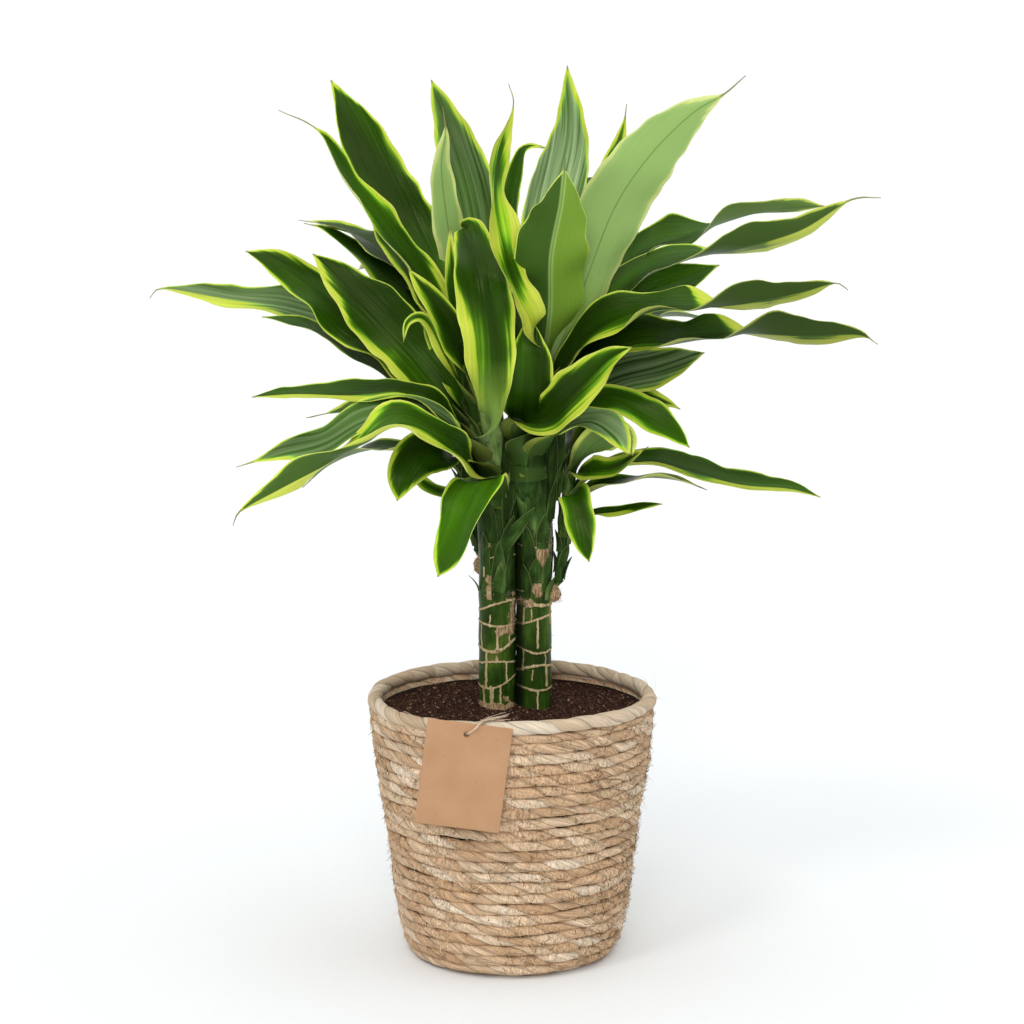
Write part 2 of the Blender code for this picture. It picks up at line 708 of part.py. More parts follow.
def keep_outer_body(mesh):
    """Fills sealed hollows and drops loose scraps: only the largest body stays."""
    shape = bmesh.new()
    shape.from_mesh(mesh)
    bmesh.ops.triangulate(shape, faces=shape.faces)
    bodies = islands(shape)
    bodies.sort(key=lambda body: sum(face.calc_area() for face in body))
    for body in bodies[:-1]:
        bmesh.ops.delete(shape, geom=body, context="FACES")
    shape.to_mesh(mesh)
    shape.free()


def leafy_stem(name, home, finish):
    """A stem with its leaves and sheaths, fused into one body."""
    made = stem(name, home)
    repeats = new_collection(name + "_blades")
    for number, (height, sort) in enumerate(LEAVES[name]):
        root = stem_point(name, height)
        leaf = grown_leaf(root, sort) if sort[1] not in ("seen", "arching") else sort
        blade(f"{name}_leaf_{number}", root, leaf, repeats, stem_radius(name, height) * MM)
    count, low, high = SCALES[name]
    for number in range(count):
        height = low + (high - low) * number / (count - 1)
        root = stem_point(name, height)
        leaf = scale_leaf(name, height, SCALE_FROM[name] + number * SCALE_TURN % SCALE_SPAN)
        blade(f"{name}_scale_{number}", root, leaf, repeats, stem_radius(name, height) * MM)
    change = made.modifiers.new("Join", "BOOLEAN")
    change.operation = "UNION"
    change.operand_type = "COLLECTION"
    change.collection = repeats
    change.solver = "MANIFOLD"
    freeze(made)
    for blade_object in list(repeats.objects):
        bpy.data.objects.remove(blade_object)
    bpy.data.collections.remove(repeats)
    keep_outer_body(made.data)
    made.data.materials.clear()
    made.data.materials.append(finish)
    smooth_shading(made, 60.0)
    return made


def tag(home, cutters, finish):
    """A blank card with a punched hole, hanging by its twine in front of the basket."""
    shape = bmesh.new()
    bmesh.ops.create_cube(shape, size=1.0)
    mesh = mesh_from("tag", shape)
    mesh.transform(Matrix.Diagonal((TAG_WIDTH * MM, TAG_THICK * MM, TAG_HEIGHT * MM, 1.0)))
    made = add_object("tag", mesh, home, finish)
    shape = bmesh.new()
    reach = TAG_HOLE_RADIUS * MM
    bmesh.ops.create_cone(shape, cap_ends=True, segments=16, radius1=reach, radius2=reach, depth=0.01)
    mesh = mesh_from("tag_hole", shape)
    mesh.transform(Matrix.Rotation(math.radians(90.0), 4, "X"))
    mesh.transform(Matrix.Translation(Vector((TAG_HOLE_ASIDE, 0.0, TAG_HEIGHT / 2 - TAG_HOLE_DOWN)) * MM))
    hole = cutter(add_object("tag_hole", mesh, cutters), cutters)
    for piece in (made, hole):
        piece.matrix_world = tag_place()
    boolean(made, hole, "DIFFERENCE")
    return made


def tag_place():
    turn = Matrix.Rotation(math.radians(-TAG_ROLL), 4, "Y")
    return Matrix.Translation(Vector(TAG_MIDDLE) * MM) @ turn


def twine(home, finish):
    """One loop of twine through the tag's hole, over the rim and back through the wall under it."""
    rise = TAG_HOLE_RADIUS - TWINE_RADIUS - GAP / MM
    hole = tag_place() @ (Vector((TAG_HOLE_ASIDE, 0.0, TAG_HEIGHT / 2 - TAG_HOLE_DOWN + rise)) * MM)
    reach = Vector((0.0, TWINE_REACH, 0.0)) * MM
    route = [hole - reach, hole, hole + reach]
    over = RIM_TUBE + TWINE_RADIUS + TWINE_OVER_RIM
    places = list(TWINE_INNER)
    for turn in (180, 135, 90):
        out = math.cos(math.radians(turn)) * over
        up = math.sin(math.radians(turn)) * over
        places.append((RIM_RADIUS + out, RIM_HEIGHT + up))
    for radius, height in places:
        route.append(at_twine(radius, height))
    route.extend(Vector(place) * MM for place in TWINE_OUTER)
    curve = bpy.data.curves.new("twine", "CURVE")
    curve.dimensions = "3D"
    curve.bevel_depth = TWINE_RADIUS * MM
    curve.bevel_resolution = 1
    line = curve.splines.new("POLY")
    line.points.add(len(route) - 1)
    for point, spot in zip(route, line.points):
        spot.co = (*point, 1.0)
    line.use_cyclic_u = True
    made = bpy.data.objects.new("twine", curve)
    home.objects.link(made)
    curve.materials.append(finish)
    return made


def main():
    for old in list(bpy.data.objects):
        bpy.data.objects.remove(old)
    home = new_collection("potted_corn_plant")
    cutters = new_collection("cutters")
    seagrass = material("seagrass", (0.60, 0.46, 0.29), 0.8)
    basket(home, cutters, seagrass)
    rim_wrap(home, material("seagrass_wrap", (0.62, 0.48, 0.31), 0.75))
    liner(home, material("liner_film", (0.03, 0.03, 0.03), 0.45))
    soil(home, cutters, material("potting_soil", (0.045, 0.025, 0.018), 0.95))
    cane_skin = material("cane_skin", (0.05, 0.12, 0.02), 0.55)
    for name in CANES:
        cane(name, home, cutters, cane_skin)
    leaf_skin = material("leaf", (0.07, 0.19, 0.02), 0.4)
    for name in STEMS:
        leafy_stem(name, home, leaf_skin)
    tag(home, cutters, material("kraft_card", (0.55, 0.34, 0.18), 0.85))
    twine(home, material("raffia_twine", (0.62, 0.45, 0.27), 0.8))


main()
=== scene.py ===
import math
import random

import bmesh
import bpy
import numpy as np
from mathutils import Matrix, Vector, noise
from mathutils.geometry import interpolate_bezier


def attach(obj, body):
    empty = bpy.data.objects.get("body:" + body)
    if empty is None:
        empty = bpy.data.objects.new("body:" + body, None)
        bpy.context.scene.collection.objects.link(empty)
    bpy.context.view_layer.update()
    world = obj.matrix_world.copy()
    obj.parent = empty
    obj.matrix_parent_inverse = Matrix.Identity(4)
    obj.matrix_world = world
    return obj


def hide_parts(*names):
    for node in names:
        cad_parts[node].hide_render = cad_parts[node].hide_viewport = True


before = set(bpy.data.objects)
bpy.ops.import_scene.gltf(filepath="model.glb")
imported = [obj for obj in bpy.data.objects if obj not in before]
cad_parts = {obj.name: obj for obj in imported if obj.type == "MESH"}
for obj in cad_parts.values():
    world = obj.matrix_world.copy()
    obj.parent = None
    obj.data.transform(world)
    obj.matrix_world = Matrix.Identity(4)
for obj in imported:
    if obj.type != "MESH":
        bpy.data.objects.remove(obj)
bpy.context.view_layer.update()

MM = 0.001


# Studio: a pale painted floor that runs out of sight in a surround that is white behind
# and grey in front, one broad soft light overhead, a weaker one in front and a small one
# at the left, and the camera at the height and tilt that the plant is seen from.
def linear(code):
    """A hex sRGB colour as linear red, green, blue and alpha."""
    shares = [int(code[at:at + 2], 16) / 255 for at in (1, 3, 5)]
    return (*[s / 12.92 if s <= 0.04045 else ((s + 0.055) / 1.055) ** 2.4 for s in shares], 1.0)


def fill(node, values=(), **named):
    """Sets or links a node's inputs: those in use in their order, or by a name with its spaces as _."""
    in_use = [socket for socket in node.inputs if socket.enabled]
    pairs = [*zip(in_use, values)]
    pairs += [(next(s for s in in_use if s.name == key.replace("_", " ")), named[key]) for key in named]
    for socket, value in pairs:
        if isinstance(value, bpy.types.NodeSocket):
            node.id_data.links.new(value, socket)
        else:
            socket.default_value = value


def add(tree, kind, *values, out=None, stops=(), **named):
    """Adds a node to a tree and gives its first output in use, or the one that out names.

    The kind may end in an operation. Values are for its inputs in their order, a name with a
    capital is an input's, and any other is a setting. Stops are a ramp's places and colours."""
    kind, *operation = kind.split()
    kinds = (start + kind for start in ("ShaderNode", "GeometryNode", "FunctionNode", ""))
    node = tree.nodes.new(next(name for name in kinds if hasattr(bpy.types, name)))
    if operation:
        node.operation = operation[0]
    for name in [name for name in named if name[0].islower()]:
        setattr(node, name, named.pop(name))
    for _extra in stops[2:]:
        node.color_ramp.elements.new(1.0)
    for element, (place, code) in zip(node.color_ramp.elements if stops else (), stops):
        element.position, element.color = place, linear(code)
    fill(node, values, **named)
    return next((socket for socket in node.outputs if socket.enabled and out in (None, socket.name)), None)


def new_finish(name):
    """A new material with its node tree and its shader."""
    made = bpy.data.materials.new(name)
    made.use_nodes = True
    return made, made.node_tree, made.node_tree.nodes["Principled BSDF"]


def show(name, mesh, *finishes):
    """Puts a mesh in the scene as a piece with its materials."""
    made = bpy.data.objects.new(name, mesh)
    bpy.context.scene.collection.objects.link(made)
    for finish in finishes:
        mesh.materials.append(finish)
    return made


def settled(name, shape, corners=0):
    """Turns a shape into a mesh, smooth on its faces that have no more than a number of corners."""
    mesh = bpy.data.meshes.new(name)
    shape.to_mesh(mesh)
    shape.free()
    for face in mesh.polygons:
        face.use_smooth = face.use_smooth or len(face.vertices) <= corners
    return mesh


FLOOR_REACH = 60.0
FLOOR_DROP = 0.0003
FRONT_GLOW = 0.2
BACK_GLOW = 0.9
OVERHEAD_GLOW = 0.25
# Each light: the way it comes from, how wide it spreads in degrees, and its strength
LAMPS = {
    "overhead_lamp": ((0.1, -0.2, 2.3), 90.0, 2.1),
    "front_lamp": ((-0.1, -2.0, 0.9), 26.0, 1.15),
    "side_lamp": ((-0.9, -1.2, 1.6), 14.0, 0.4),
}
floor_shape = bmesh.new()
bmesh.ops.create_circle(floor_shape, cap_ends=True, segments=64, radius=FLOOR_REACH)
floor_mesh = settled("floor", floor_shape)
floor_mesh.transform(Matrix.Translation((0.0, 0.0, -FLOOR_DROP)))
# Matt floor paint: a nearly even white with a very fine grain
floor_paint, tree, shader = new_finish("matt_floor_paint")
place = add(tree, "TexCoord", out="Object")
mottle = add(tree, "TexNoise", place, Scale=700.0, Detail=1.0)
tint = add(tree, "ValToRGB", mottle, stops=((0.3, "#EDF0F1"), (0.7, "#F1F4F5")))
fill(shader, Base_Color=tint, Roughness=0.9, Specular_IOR_Level=0.1)
show("floor", floor_mesh, floor_paint)

# The surround is white behind, dimmer in front and overhead
surround = bpy.data.worlds.new("white_surround")
surround.use_nodes = True
tree = surround.node_tree
direction = add(tree, "TexCoord")
parts = add(tree, "SeparateXYZ", direction).node.outputs
glow = add(tree, "MapRange", parts["Y"], -0.3, 0.6, FRONT_GLOW, BACK_GLOW)
high = add(tree, "MapRange", parts["Z"], 0.25, 0.65)
glow = add(tree, "Mix", high, glow, OVERHEAD_GLOW)
fill(tree.nodes["Background"], Strength=glow, Color=linear("#FFFFFF"))
bpy.context.scene.world = surround
bpy.context.scene.view_settings.view_transform = "Standard"

for name, (comes_from, spread, strength) in LAMPS.items():
    lamp = bpy.data.lights.new(name, "SUN")
    lamp.angle = math.radians(spread)
    lamp.energy = strength
    lamp_object = bpy.data.objects.new(name, lamp)
    lamp_object.rotation_euler = (-Vector(comes_from)).to_track_quat("-Z", "Y").to_euler()
    bpy.context.scene.collection.objects.link(lamp_object)

EYE = Vector((0.0, -2.30, 0.742))
LOOK_DOWN = math.radians(10.23)
SENSOR_WIDTH = 36.0
FOCAL_LENGTH = 113.7
camera = bpy.data.cameras.new("camera")
camera.sensor_width = SENSOR_WIDTH
camera.lens = FOCAL_LENGTH
camera.clip_end = 100.0
camera_object = bpy.data.objects.new("camera", camera)
camera_object.location = EYE
camera_object.rotation_euler = (math.radians(90.0) - LOOK_DOWN, 0.0, 0.0)
bpy.context.scene.collection.objects.link(camera_object)
bpy.context.scene.camera = camera_object


# Basket: one long cord of twisted seagrass strips, coiled out from the middle of the
# floor and on up the side, each turn sewn to the last, and tapered off under the rim.
CORD_PITCH = 8.17
CORD_RADIUS = 4.25
CORD_FLATNESS = 0.78
CORD_TWIST = 43.0
CORD_STEP = 2.35
BASKET_TOP = 184.7
# The outside of the cords: height and radius
BASKET_OUTSIDE = (
    (5.0, 76.5), (20.0, 81.0), (50.0, 86.0), (75.0, 88.5), (112.0, 94.0), (149.0, 99.5), (BASKET_TOP, 102.5)
)


def outside_at(height):
    """The basket's outside radius at a height."""
    return float(np.interp(height, *zip(*BASKET_OUTSIDE)))


def bearing(angle):
    """The level way at a turn about the upright axis."""
    return Vector((math.cos(angle), math.sin(angle), 0.0))


def keep(mesh, key, values):
    """Stores a number or a vector for each point of a mesh."""
    values = np.array(values, np.float32)
    kind, field = ("FLOAT", "value") if values.ndim == 1 else ("FLOAT_VECTOR", "vector")
    mesh.attributes.new(key, kind, "POINT").data.foreach_set(field, values.ravel())


def line_mesh(name, lines, closed=False):
    """A mesh of lines, whose rows give each point's place and what a tree reads there."""
    mesh = bpy.data.meshes.new(name)
    rows, legs = [], []
    for line in lines:
        first = len(rows)
        rows.extend(line)
        legs.extend((at, at + 1) for at in range(first, len(rows) - 1))
        if closed:
            legs.append((len(rows) - 1, first))
    mesh.from_pydata([row["place"] for row in rows], legs, [])
    for key in [key for key in rows[0] if key != "place"]:
        keep(mesh, key, [row[key] for row in rows])
    return mesh


def cord_line(places, sizes=1.0, outward=(0.0, 0.0, 1.0)):
    """A cord's rows from places in millimetres, its size there and the way that it faces."""
    sizes = np.broadcast_to(sizes, len(places))
    outward = np.broadcast_to(outward, (len(places), 3))
    return [
        {"place": Vector(place) * MM, "outward": way, "size": size}
        for place, way, size in zip(places, outward, sizes)
    ]


def new_tree(name, *inputs):
    """A geometry tree with named inputs, each with its kind and value."""
    tree = bpy.data.node_groups.new(name, "GeometryNodeTree")
    tree.interface.new_socket("Geometry", in_out="INPUT", socket_type="NodeSocketGeometry")
    for label, kind, value in inputs:
        socket = tree.interface.new_socket(label, in_out="INPUT", socket_type="NodeSocket" + kind)
        if value is not None:
            socket.default_value = value
    tree.interface.new_socket("Geometry", in_out="OUTPUT", socket_type="NodeSocketGeometry")
    return tree, add(tree, "NodeGroupInput").node.outputs


def close(tree, shape, finish):
    """Ends a geometry tree in plain geometry with its material."""
    shape = add(tree, "RealizeInstances", shape)
    add(tree, "NodeGroupOutput", add(tree, "SetMaterial", shape, Material=finish))


def grow(target, tree, **values):
    """Runs a geometry tree on an object and keeps the plain mesh that it makes."""
    change = target.modifiers.new(tree.name, "NODES")
    change.node_group = tree
    for socket in tree.interface.items_tree:
        label = socket.name.lower().replace(" ", "_")
        if socket.in_out == "INPUT" and label in values:
            change[socket.identifier] = values[label]
    bpy.context.view_layer.update()
    mesh = bpy.data.meshes.new_from_object(target.evaluated_get(bpy.context.evaluated_depsgraph_get()))
    target.modifiers.clear()
    target.data = mesh
    mesh.shade_smooth()


# The cord tree sweeps a lobed ring along a line, turns it as it goes, and flattens it
cord_tree, given = new_tree(
    "twisted_cord",
    ("Thickness", "Float", 0.004),
    ("Twist Length", "Float", 0.05),
    ("Strands", "Int", 2),
    ("Groove", "Float", 0.2),
    ("Flatness", "Float", 0.8),
    ("Facets", "Int", 14),
    ("Level", "Bool", False),
    ("Finish", "Material", None),
)
tree = cord_tree
line = add(tree, "MeshToCurve", given["Geometry"])
# A level cord keeps one side outwards, so that its strips change on the hidden side
levelled = add(tree, "SetCurveNormal", line, mode="Z_UP")
line = add(tree, "Switch", given["Level"], line, levelled, input_type="GEOMETRY")
reach = add(tree, "SplineParameter", out="Length")
line = add(tree, "StoreNamedAttribute", line, Name="along", Value=reach)
spot = add(tree, "InputPosition")
line = add(tree, "StoreNamedAttribute", line, Name="middle", Value=spot, data_type="FLOAT_VECTOR")
along = add(tree, "InputNamedAttribute", "along")
lumps = add(tree, "TexNoise", W=along, Scale=34.0, Detail=1.0, noise_dimensions="1D")
uneven = add(tree, "MapRange", lumps, 0.3, 0.7, -0.6, 0.6)
turns = add(tree, "Math DIVIDE", along, given["Twist Length"])
turns = add(tree, "Math MULTIPLY_ADD", turns, math.tau, uneven)
line = add(tree, "SetCurveTilt", line, Tilt=turns)
size = add(tree, "InputNamedAttribute", "size")
line = add(tree, "SetCurveRadius", line, Radius=size)
ring = add(tree, "CurvePrimitiveCircle", Resolution=given["Facets"], Radius=given["Thickness"])
around = add(tree, "SplineParameter")
ring = add(tree, "StoreNamedAttribute", ring, Name="around", Value=around)
# The ring dips where one strip meets the next
lobe = add(tree, "Math MULTIPLY", around, given["Strands"])
lobe = add(tree, "Math MULTIPLY", lobe, math.pi)
lobe = add(tree, "Math SINE", lobe)
lobe = add(tree, "Math ABSOLUTE", lobe)
lobe = add(tree, "Math SUBTRACT", 1.0, lobe)
lobe = add(tree, "Math POWER", lobe, 2.0)
lobe = add(tree, "Math MULTIPLY", lobe, given["Groove"])
lobe = add(tree, "Math SUBTRACT", 1.0, lobe)
spot = add(tree, "InputPosition")
spot = add(tree, "VectorMath SCALE", spot, lobe)
ring = add(tree, "SetPosition", ring, Position=spot)
swept = add(tree, "CurveToMesh", line, ring, size, True)
# The swept cord is pressed flat against the way that it faces
spot = add(tree, "InputPosition")
middle = add(tree, "InputNamedAttribute", "middle", data_type="FLOAT_VECTOR")
outward = add(tree, "InputNamedAttribute", "outward", data_type="FLOAT_VECTOR")
off = add(tree, "VectorMath SUBTRACT", spot, middle)
depth = add(tree, "VectorMath DOT_PRODUCT", off, outward)
press = add(tree, "Math SUBTRACT", given["Flatness"], 1.0)
press = add(tree, "Math MULTIPLY", press, depth)
press = add(tree, "VectorMath SCALE", outward, press)
swept = add(tree, "SetPosition", swept, Offset=press)
close(tree, swept, given["Finish"])


def stretched(tree, at, to_a_metre, detail, distortion=0.0):
    """Noise drawn out in streaks: how many lumps to a metre each way, and how fine they are."""
    at = add(tree, "VectorMath MULTIPLY", at, to_a_metre)
    return add(tree, "TexNoise", at, Scale=1.0, Detail=detail, Distortion=distortion)


def seagrass_finish(name, twist, tones, matting, contrast, depth, strands=2):
    """Dried seagrass: flat strips in straw tones with lengthwise fibres, matted and frayed in patches."""
    made, tree, shader = new_finish(name)
    place = add(tree, "TexCoord", out="Object")
    along, around = (add(tree, "Attribute", attribute_name=name, out="Fac") for name in ("along", "around"))
    strand = add(tree, "Math MULTIPLY", around, float(strands))
    which = add(tree, "Math FLOOR", strand)
    # A strip ends and the next begins where the strand is turned inwards
    share = add(tree, "Math ADD", which, 0.5)
    share = add(tree, "Math MULTIPLY_ADD", share, 1.0 / strands, -0.5)
    turn = add(tree, "Math MULTIPLY_ADD", along, 1 / twist, share)
    turn = add(tree, "Math FLOOR", turn)
    strip = add(tree, "Math MULTIPLY_ADD", which, 37.0, turn)
    draw = add(tree, "TexWhiteNoise", W=strip, noise_dimensions="1D")
    # Fibres 0.5 mm apart that run along the strip for about 18 mm, and broader ones
    fibre_at = add(tree, "CombineXYZ", around, along, strip)
    fine = stretched(tree, fibre_at, (46.0, 55.0, 1.7), 3.0)
    broad = stretched(tree, fibre_at, (13.0, 30.0, 1.3), 2.0)
    # Patches 40 mm across where torn fibres lie across the strip, 1.3 mm apart
    patch = add(tree, "TexNoise", place, Scale=26.0, Detail=2.0)
    patch = add(tree, "MapRange", patch, 0.4, 0.6, To_Max=matting)
    matted = stretched(tree, fibre_at, (9.0, 760.0, 2.3), 3.0, 0.9)
    fine = add(tree, "Mix", patch, fine, matted)
    mixed = add(tree, "Math MULTIPLY_ADD", draw, 0.56, 0.18)
    mixed = add(tree, "Math MULTIPLY_ADD", broad, 0.6, mixed)
    mixed = add(tree, "Math SUBTRACT", mixed, 0.3)
    colour = add(tree, "ValToRGB", mixed, stops=tones)
    # A few reddish-brown stains
    stain_and_painted_shade = add(tree, "TexNoise", place, Scale=95.0, Detail=3.0)
    stain_and_painted_shade = add(tree, "MapRange", stain_and_painted_shade, 0.62, 0.72, To_Max=0.55 * matting)
    colour = add(tree, "Mix", stain_and_painted_shade, colour, linear("#94674A"), data_type="RGBA")
    light = add(tree, "MapRange", fine, 0.3, 0.68, 1 - contrast, 1.02 + contrast * 0.4)
    # Painted shade: each strip darkens towards its edges, in the groove where it meets the next
    edge = add(tree, "Math FRACT", strand)
    edge = add(tree, "Math SUBTRACT", edge, 0.5)
    edge = add(tree, "Math ABSOLUTE", edge)
    edge = add(tree, "MapRange", edge, 0.43, 0.5, 1.0, 0.5)
    light = add(tree, "Math MULTIPLY", light, edge)
    colour = add(tree, "VectorMath SCALE", colour, light)
    height = add(tree, "Math MULTIPLY_ADD", fine, 1.4, broad)
    relief = add(tree, "Bump", Height=height, Strength=0.9, Distance=depth * MM)
    fill(shader, Base_Color=colour, Normal=relief, Roughness=0.7, Specular_IOR_Level=0.2)
    return made


CORD_TONES = (
    (0.0, "#BC926B"), (0.2, "#CFA983"), (0.42, "#DEBC98"), (0.62, "#E9CDAC"), (0.8, "#F2E0C8"),
    (0.95, "#D4BE90"),
)
cord_finish = seagrass_finish("dried_seagrass_cord", CORD_TWIST * MM, CORD_TONES, 0.9, 0.62, 0.5)

# The line of the cord's middle from the basket's middle out and up, as distance from the
# axis and height. Neighbouring turns wander together, and each a little on its own.
half_depth = CORD_RADIUS * CORD_FLATNESS
levels = np.linspace(9.5, BASKET_TOP - 2.6, 60)
side_stops = [(outside_at(height) + 1.4 - half_depth, float(height)) for height in levels]
stops = [(4.0, half_depth), (69.0, half_depth), (73.2, 5.2), *side_stops]
stop_radii, stop_heights = zip(*stops)
reached = np.concatenate(([0.0], np.cumsum([math.dist(a, b) for a, b in zip(stops, stops[1:])])))
# How far the turns wander in millimetres, and the height under the rim where they calm down
SHARED_WANDER = 1.1
OWN_WANDER = 1.1
CALM_DEPTH = 14.0
cord_places, cord_normals, cord_sizes = [], [], []
gone, turn = 0.0, 0.0
while gone < reached[-1] + CORD_PITCH:
    inside = min(gone, reached[-1])
    radius, height = (float(np.interp(inside, reached, column)) for column in (stop_radii, stop_heights))
    ends = np.array([max(inside - 2.0, 0.0), min(inside + 2.0, reached[-1])])
    run = Vector([
        float(np.ptp(np.interp(ends, reached, column))) for column in (stop_radii, stop_heights)
    ]).normalized()
    tail = max(gone - reached[-1], 0.0) / CORD_PITCH
    out = bearing(turn * math.tau)
    shared = noise.noise(out * 2.3 + Vector((0.0, 0.0, height / 60.0)))
    own = noise.noise(Vector((turn * 11.0, 4.0, 0.0)))
    bulge = noise.noise(Vector((turn * 14.0, 0.0, 9.0)))
    # The turns under the rim lie close to each other
    loose = run.y * min(max((BASKET_TOP - height) / CALM_DEPTH, 0.0), 1.0)
    sway = (shared * SHARED_WANDER + own * OWN_WANDER) * (1 - tail) * loose
    # The last turn fills the wedge that is left under the rim
    lift = tail * CORD_PITCH / 2 + sway
    cord_places.append(out * (radius + (shared + bulge) * 0.5 * loose) + Vector((0.0, 0.0, height + lift)))
    cord_normals.append(out * run.y + Vector((0.0, 0.0, -run.x)))
    cord_sizes.append(max((1.05 + 0.36 * bulge * loose + 0.14 * (run.y - loose)) * (1 - tail), 0.05))
    step = CORD_STEP / (math.tau * max(radius, 6.0))
    turn += step
    gone += step * CORD_PITCH
cord_rows = cord_line(cord_places, cord_sizes, cord_normals)
basket_cord = show("basket_cord", line_mesh("basket_cord", [cord_rows]))
grow(
    basket_cord, cord_tree, thickness=CORD_RADIUS * MM, twist_length=CORD_TWIST * MM, strands=2,
    groove=0.22, flatness=CORD_FLATNESS, facets=14, level=True, finish=cord_finish,
)
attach(basket_cord, "root")
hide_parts("basket")


# Rim: a thicker pair of pale, smooth seagrass strips wound round the top edge in long
# slanting laps, sewn down over the end of the cord.
RIM_RADIUS = 100.0
RIM_HEIGHT = 190.0
RIM_TUBE = 5.0
RIM_TWIST = 44.88
RIM_POINTS = 360
RIM_START = 0.3
RIM_TONES = ((0.0, "#B79C7D"), (0.25, "#C9B093"), (0.5, "#D8C3A8"), (0.75, "#E4D4BF"), (0.95, "#CBB792"))
rim_finish = seagrass_finish("pale_seagrass_wrap", RIM_TWIST * MM, RIM_TONES, 0.25, 0.24, 0.3)
rim_places, rim_sizes = [], []
for step in range(RIM_POINTS):
    angle = math.tau * (step / RIM_POINTS + RIM_START)
    out = bearing(angle)
    # The wound edge is thicker in places and rises and falls, lowest at the front's left
    swell = noise.noise(out * 5.0 + Vector((0.0, 0.0, 7.0)))
    sway = 0.8 * noise.noise(out * 2.6) - 0.85 * math.sin(2 * angle + 0.63) * (1 - out.y)
    rim_places.append(out * (RIM_RADIUS + 0.6 * swell) + Vector((0.0, 0.0, RIM_HEIGHT + sway)))
    rim_sizes.append(1 + 0.14 * swell)
rim_rows = cord_line(rim_places, rim_sizes)
rim_wrap = show("rim_wrap_strips", line_mesh("rim", [rim_rows], closed=True))
grow(
    rim_wrap, cord_tree, thickness=(RIM_TUBE + 0.3) * MM, twist_length=RIM_TWIST * MM, strands=2,
    groove=0.16, flatness=0.96, facets=24, level=True, finish=rim_finish,
)
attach(rim_wrap, "root")
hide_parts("rim_wrap")


# Frayed fibres: loose ends of seagrass that stand out of the cords and the rim. The tree
# scatters one thin bent hair over a surface, each leaning its own way.
fibre_tree, given = new_tree(
    "stray_fibres",
    ("Density", "Float", 1000.0),
    ("Longest", "Float", 0.01),
    ("Thickness", "Float", 0.02),
    ("Lift", "Float", 0.3),
    ("Upright", "Float", 1.0),
    ("Points", "Int", 6),
    ("Lowest", "Float", -1.0),
    ("Outward", "Float", -2.0),
    ("Clumping", "Float", 0.0),
    ("Seed", "Int", 3),
    ("Finish", "Material", None),
)
tree = fibre_tree
# Fibres keep above a height and to the side that faces away from the middle, in clumps
spot = add(tree, "InputPosition")
parts = add(tree, "SeparateXYZ", spot).node.outputs
high = add(tree, "Math GREATER_THAN", parts["Z"], given["Lowest"])
level = add(tree, "CombineXYZ", parts["X"], parts["Y"])
level = add(tree, "VectorMath NORMALIZE", level)
facing = add(tree, "InputNormal")
facing = add(tree, "VectorMath DOT_PRODUCT", facing, level)
facing = add(tree, "Math GREATER_THAN", facing, given["Outward"])
clump = add(tree, "TexNoise", spot, Scale=42.0, Detail=1.0)
clump = add(tree, "MapRange", clump, 0.42, 0.62)
clump = add(tree, "Math SUBTRACT", clump, 1.0)
clump = add(tree, "Math MULTIPLY_ADD", clump, given["Clumping"], 1.0)
thick = add(tree, "Math MULTIPLY", given["Density"], high)
thick = add(tree, "Math MULTIPLY", thick, facing)
thick = add(tree, "Math MULTIPLY", thick, clump)
roots = add(tree, "DistributePointsOnFaces", given["Geometry"], Density=thick, Seed=given["Seed"])
normal = roots.node.outputs["Normal"]
# One hair, 1 long, that bows both ways and tapers off
hair = add(tree, "CurvePrimitiveLine", End=(0.0, 0.0, 1.0))
hair = add(tree, "ResampleCurve", hair, Count=given["Points"])
share = add(tree, "SplineParameter")
bend = add(tree, "Math MULTIPLY", share, 2.4)
bend = add(tree, "Math SINE", bend)
bend = add(tree, "Math MULTIPLY", bend, 0.24)
bow = add(tree, "Math POWER", share, 2.0)
bow = add(tree, "Math MULTIPLY", bow, 0.2)
bend = add(tree, "CombineXYZ", bend, bow)
hair = add(tree, "SetPosition", hair, Offset=bend)
taper = add(tree, "Math MULTIPLY_ADD", share, -0.75, 1.0)
hair = add(tree, "SetCurveRadius", hair, Radius=taper)
ring = add(tree, "CurvePrimitiveCircle", Resolution=3, Radius=given["Thickness"])
hair = add(tree, "CurveToMesh", hair, ring, Scale=taper, Fill_Caps=True)
# It leans its own way
lean = add(
    tree, "RandomValue", (-1.0, -1.0, -0.6), (1.0, 1.0, 0.6), Seed=given["Seed"], data_type="FLOAT_VECTOR"
)
upright = add(tree, "CombineXYZ", 1.0, 1.0, given["Upright"])
lean = add(tree, "VectorMath MULTIPLY", lean, upright)
lean = add(tree, "VectorMath NORMALIZE", lean)
# Each lies along the surface, and its lift raises it a little
rise = add(tree, "VectorMath DOT_PRODUCT", lean, normal)
rise = add(tree, "Math SUBTRACT", given["Lift"], rise)
rise = add(tree, "VectorMath SCALE", normal, rise)
lean = add(tree, "VectorMath ADD", lean, rise)
aim = add(tree, "AlignRotationToVector", Vector=lean, axis="Z")
tall = add(tree, "RandomValue", 0.35, 1.0, Seed=given["Seed"])
tall = add(tree, "Math MULTIPLY", tall, given["Longest"])
strewn = add(tree, "InstanceOnPoints", roots, Instance=hair, Rotation=aim, Scale=tall)
shade = add(tree, "RandomValue", 0.0, 1.0, Seed=5)
strewn = add(tree, "StoreNamedAttribute", strewn, Name="shade", Value=shade, domain="INSTANCE")
close(tree, strewn, given["Finish"])


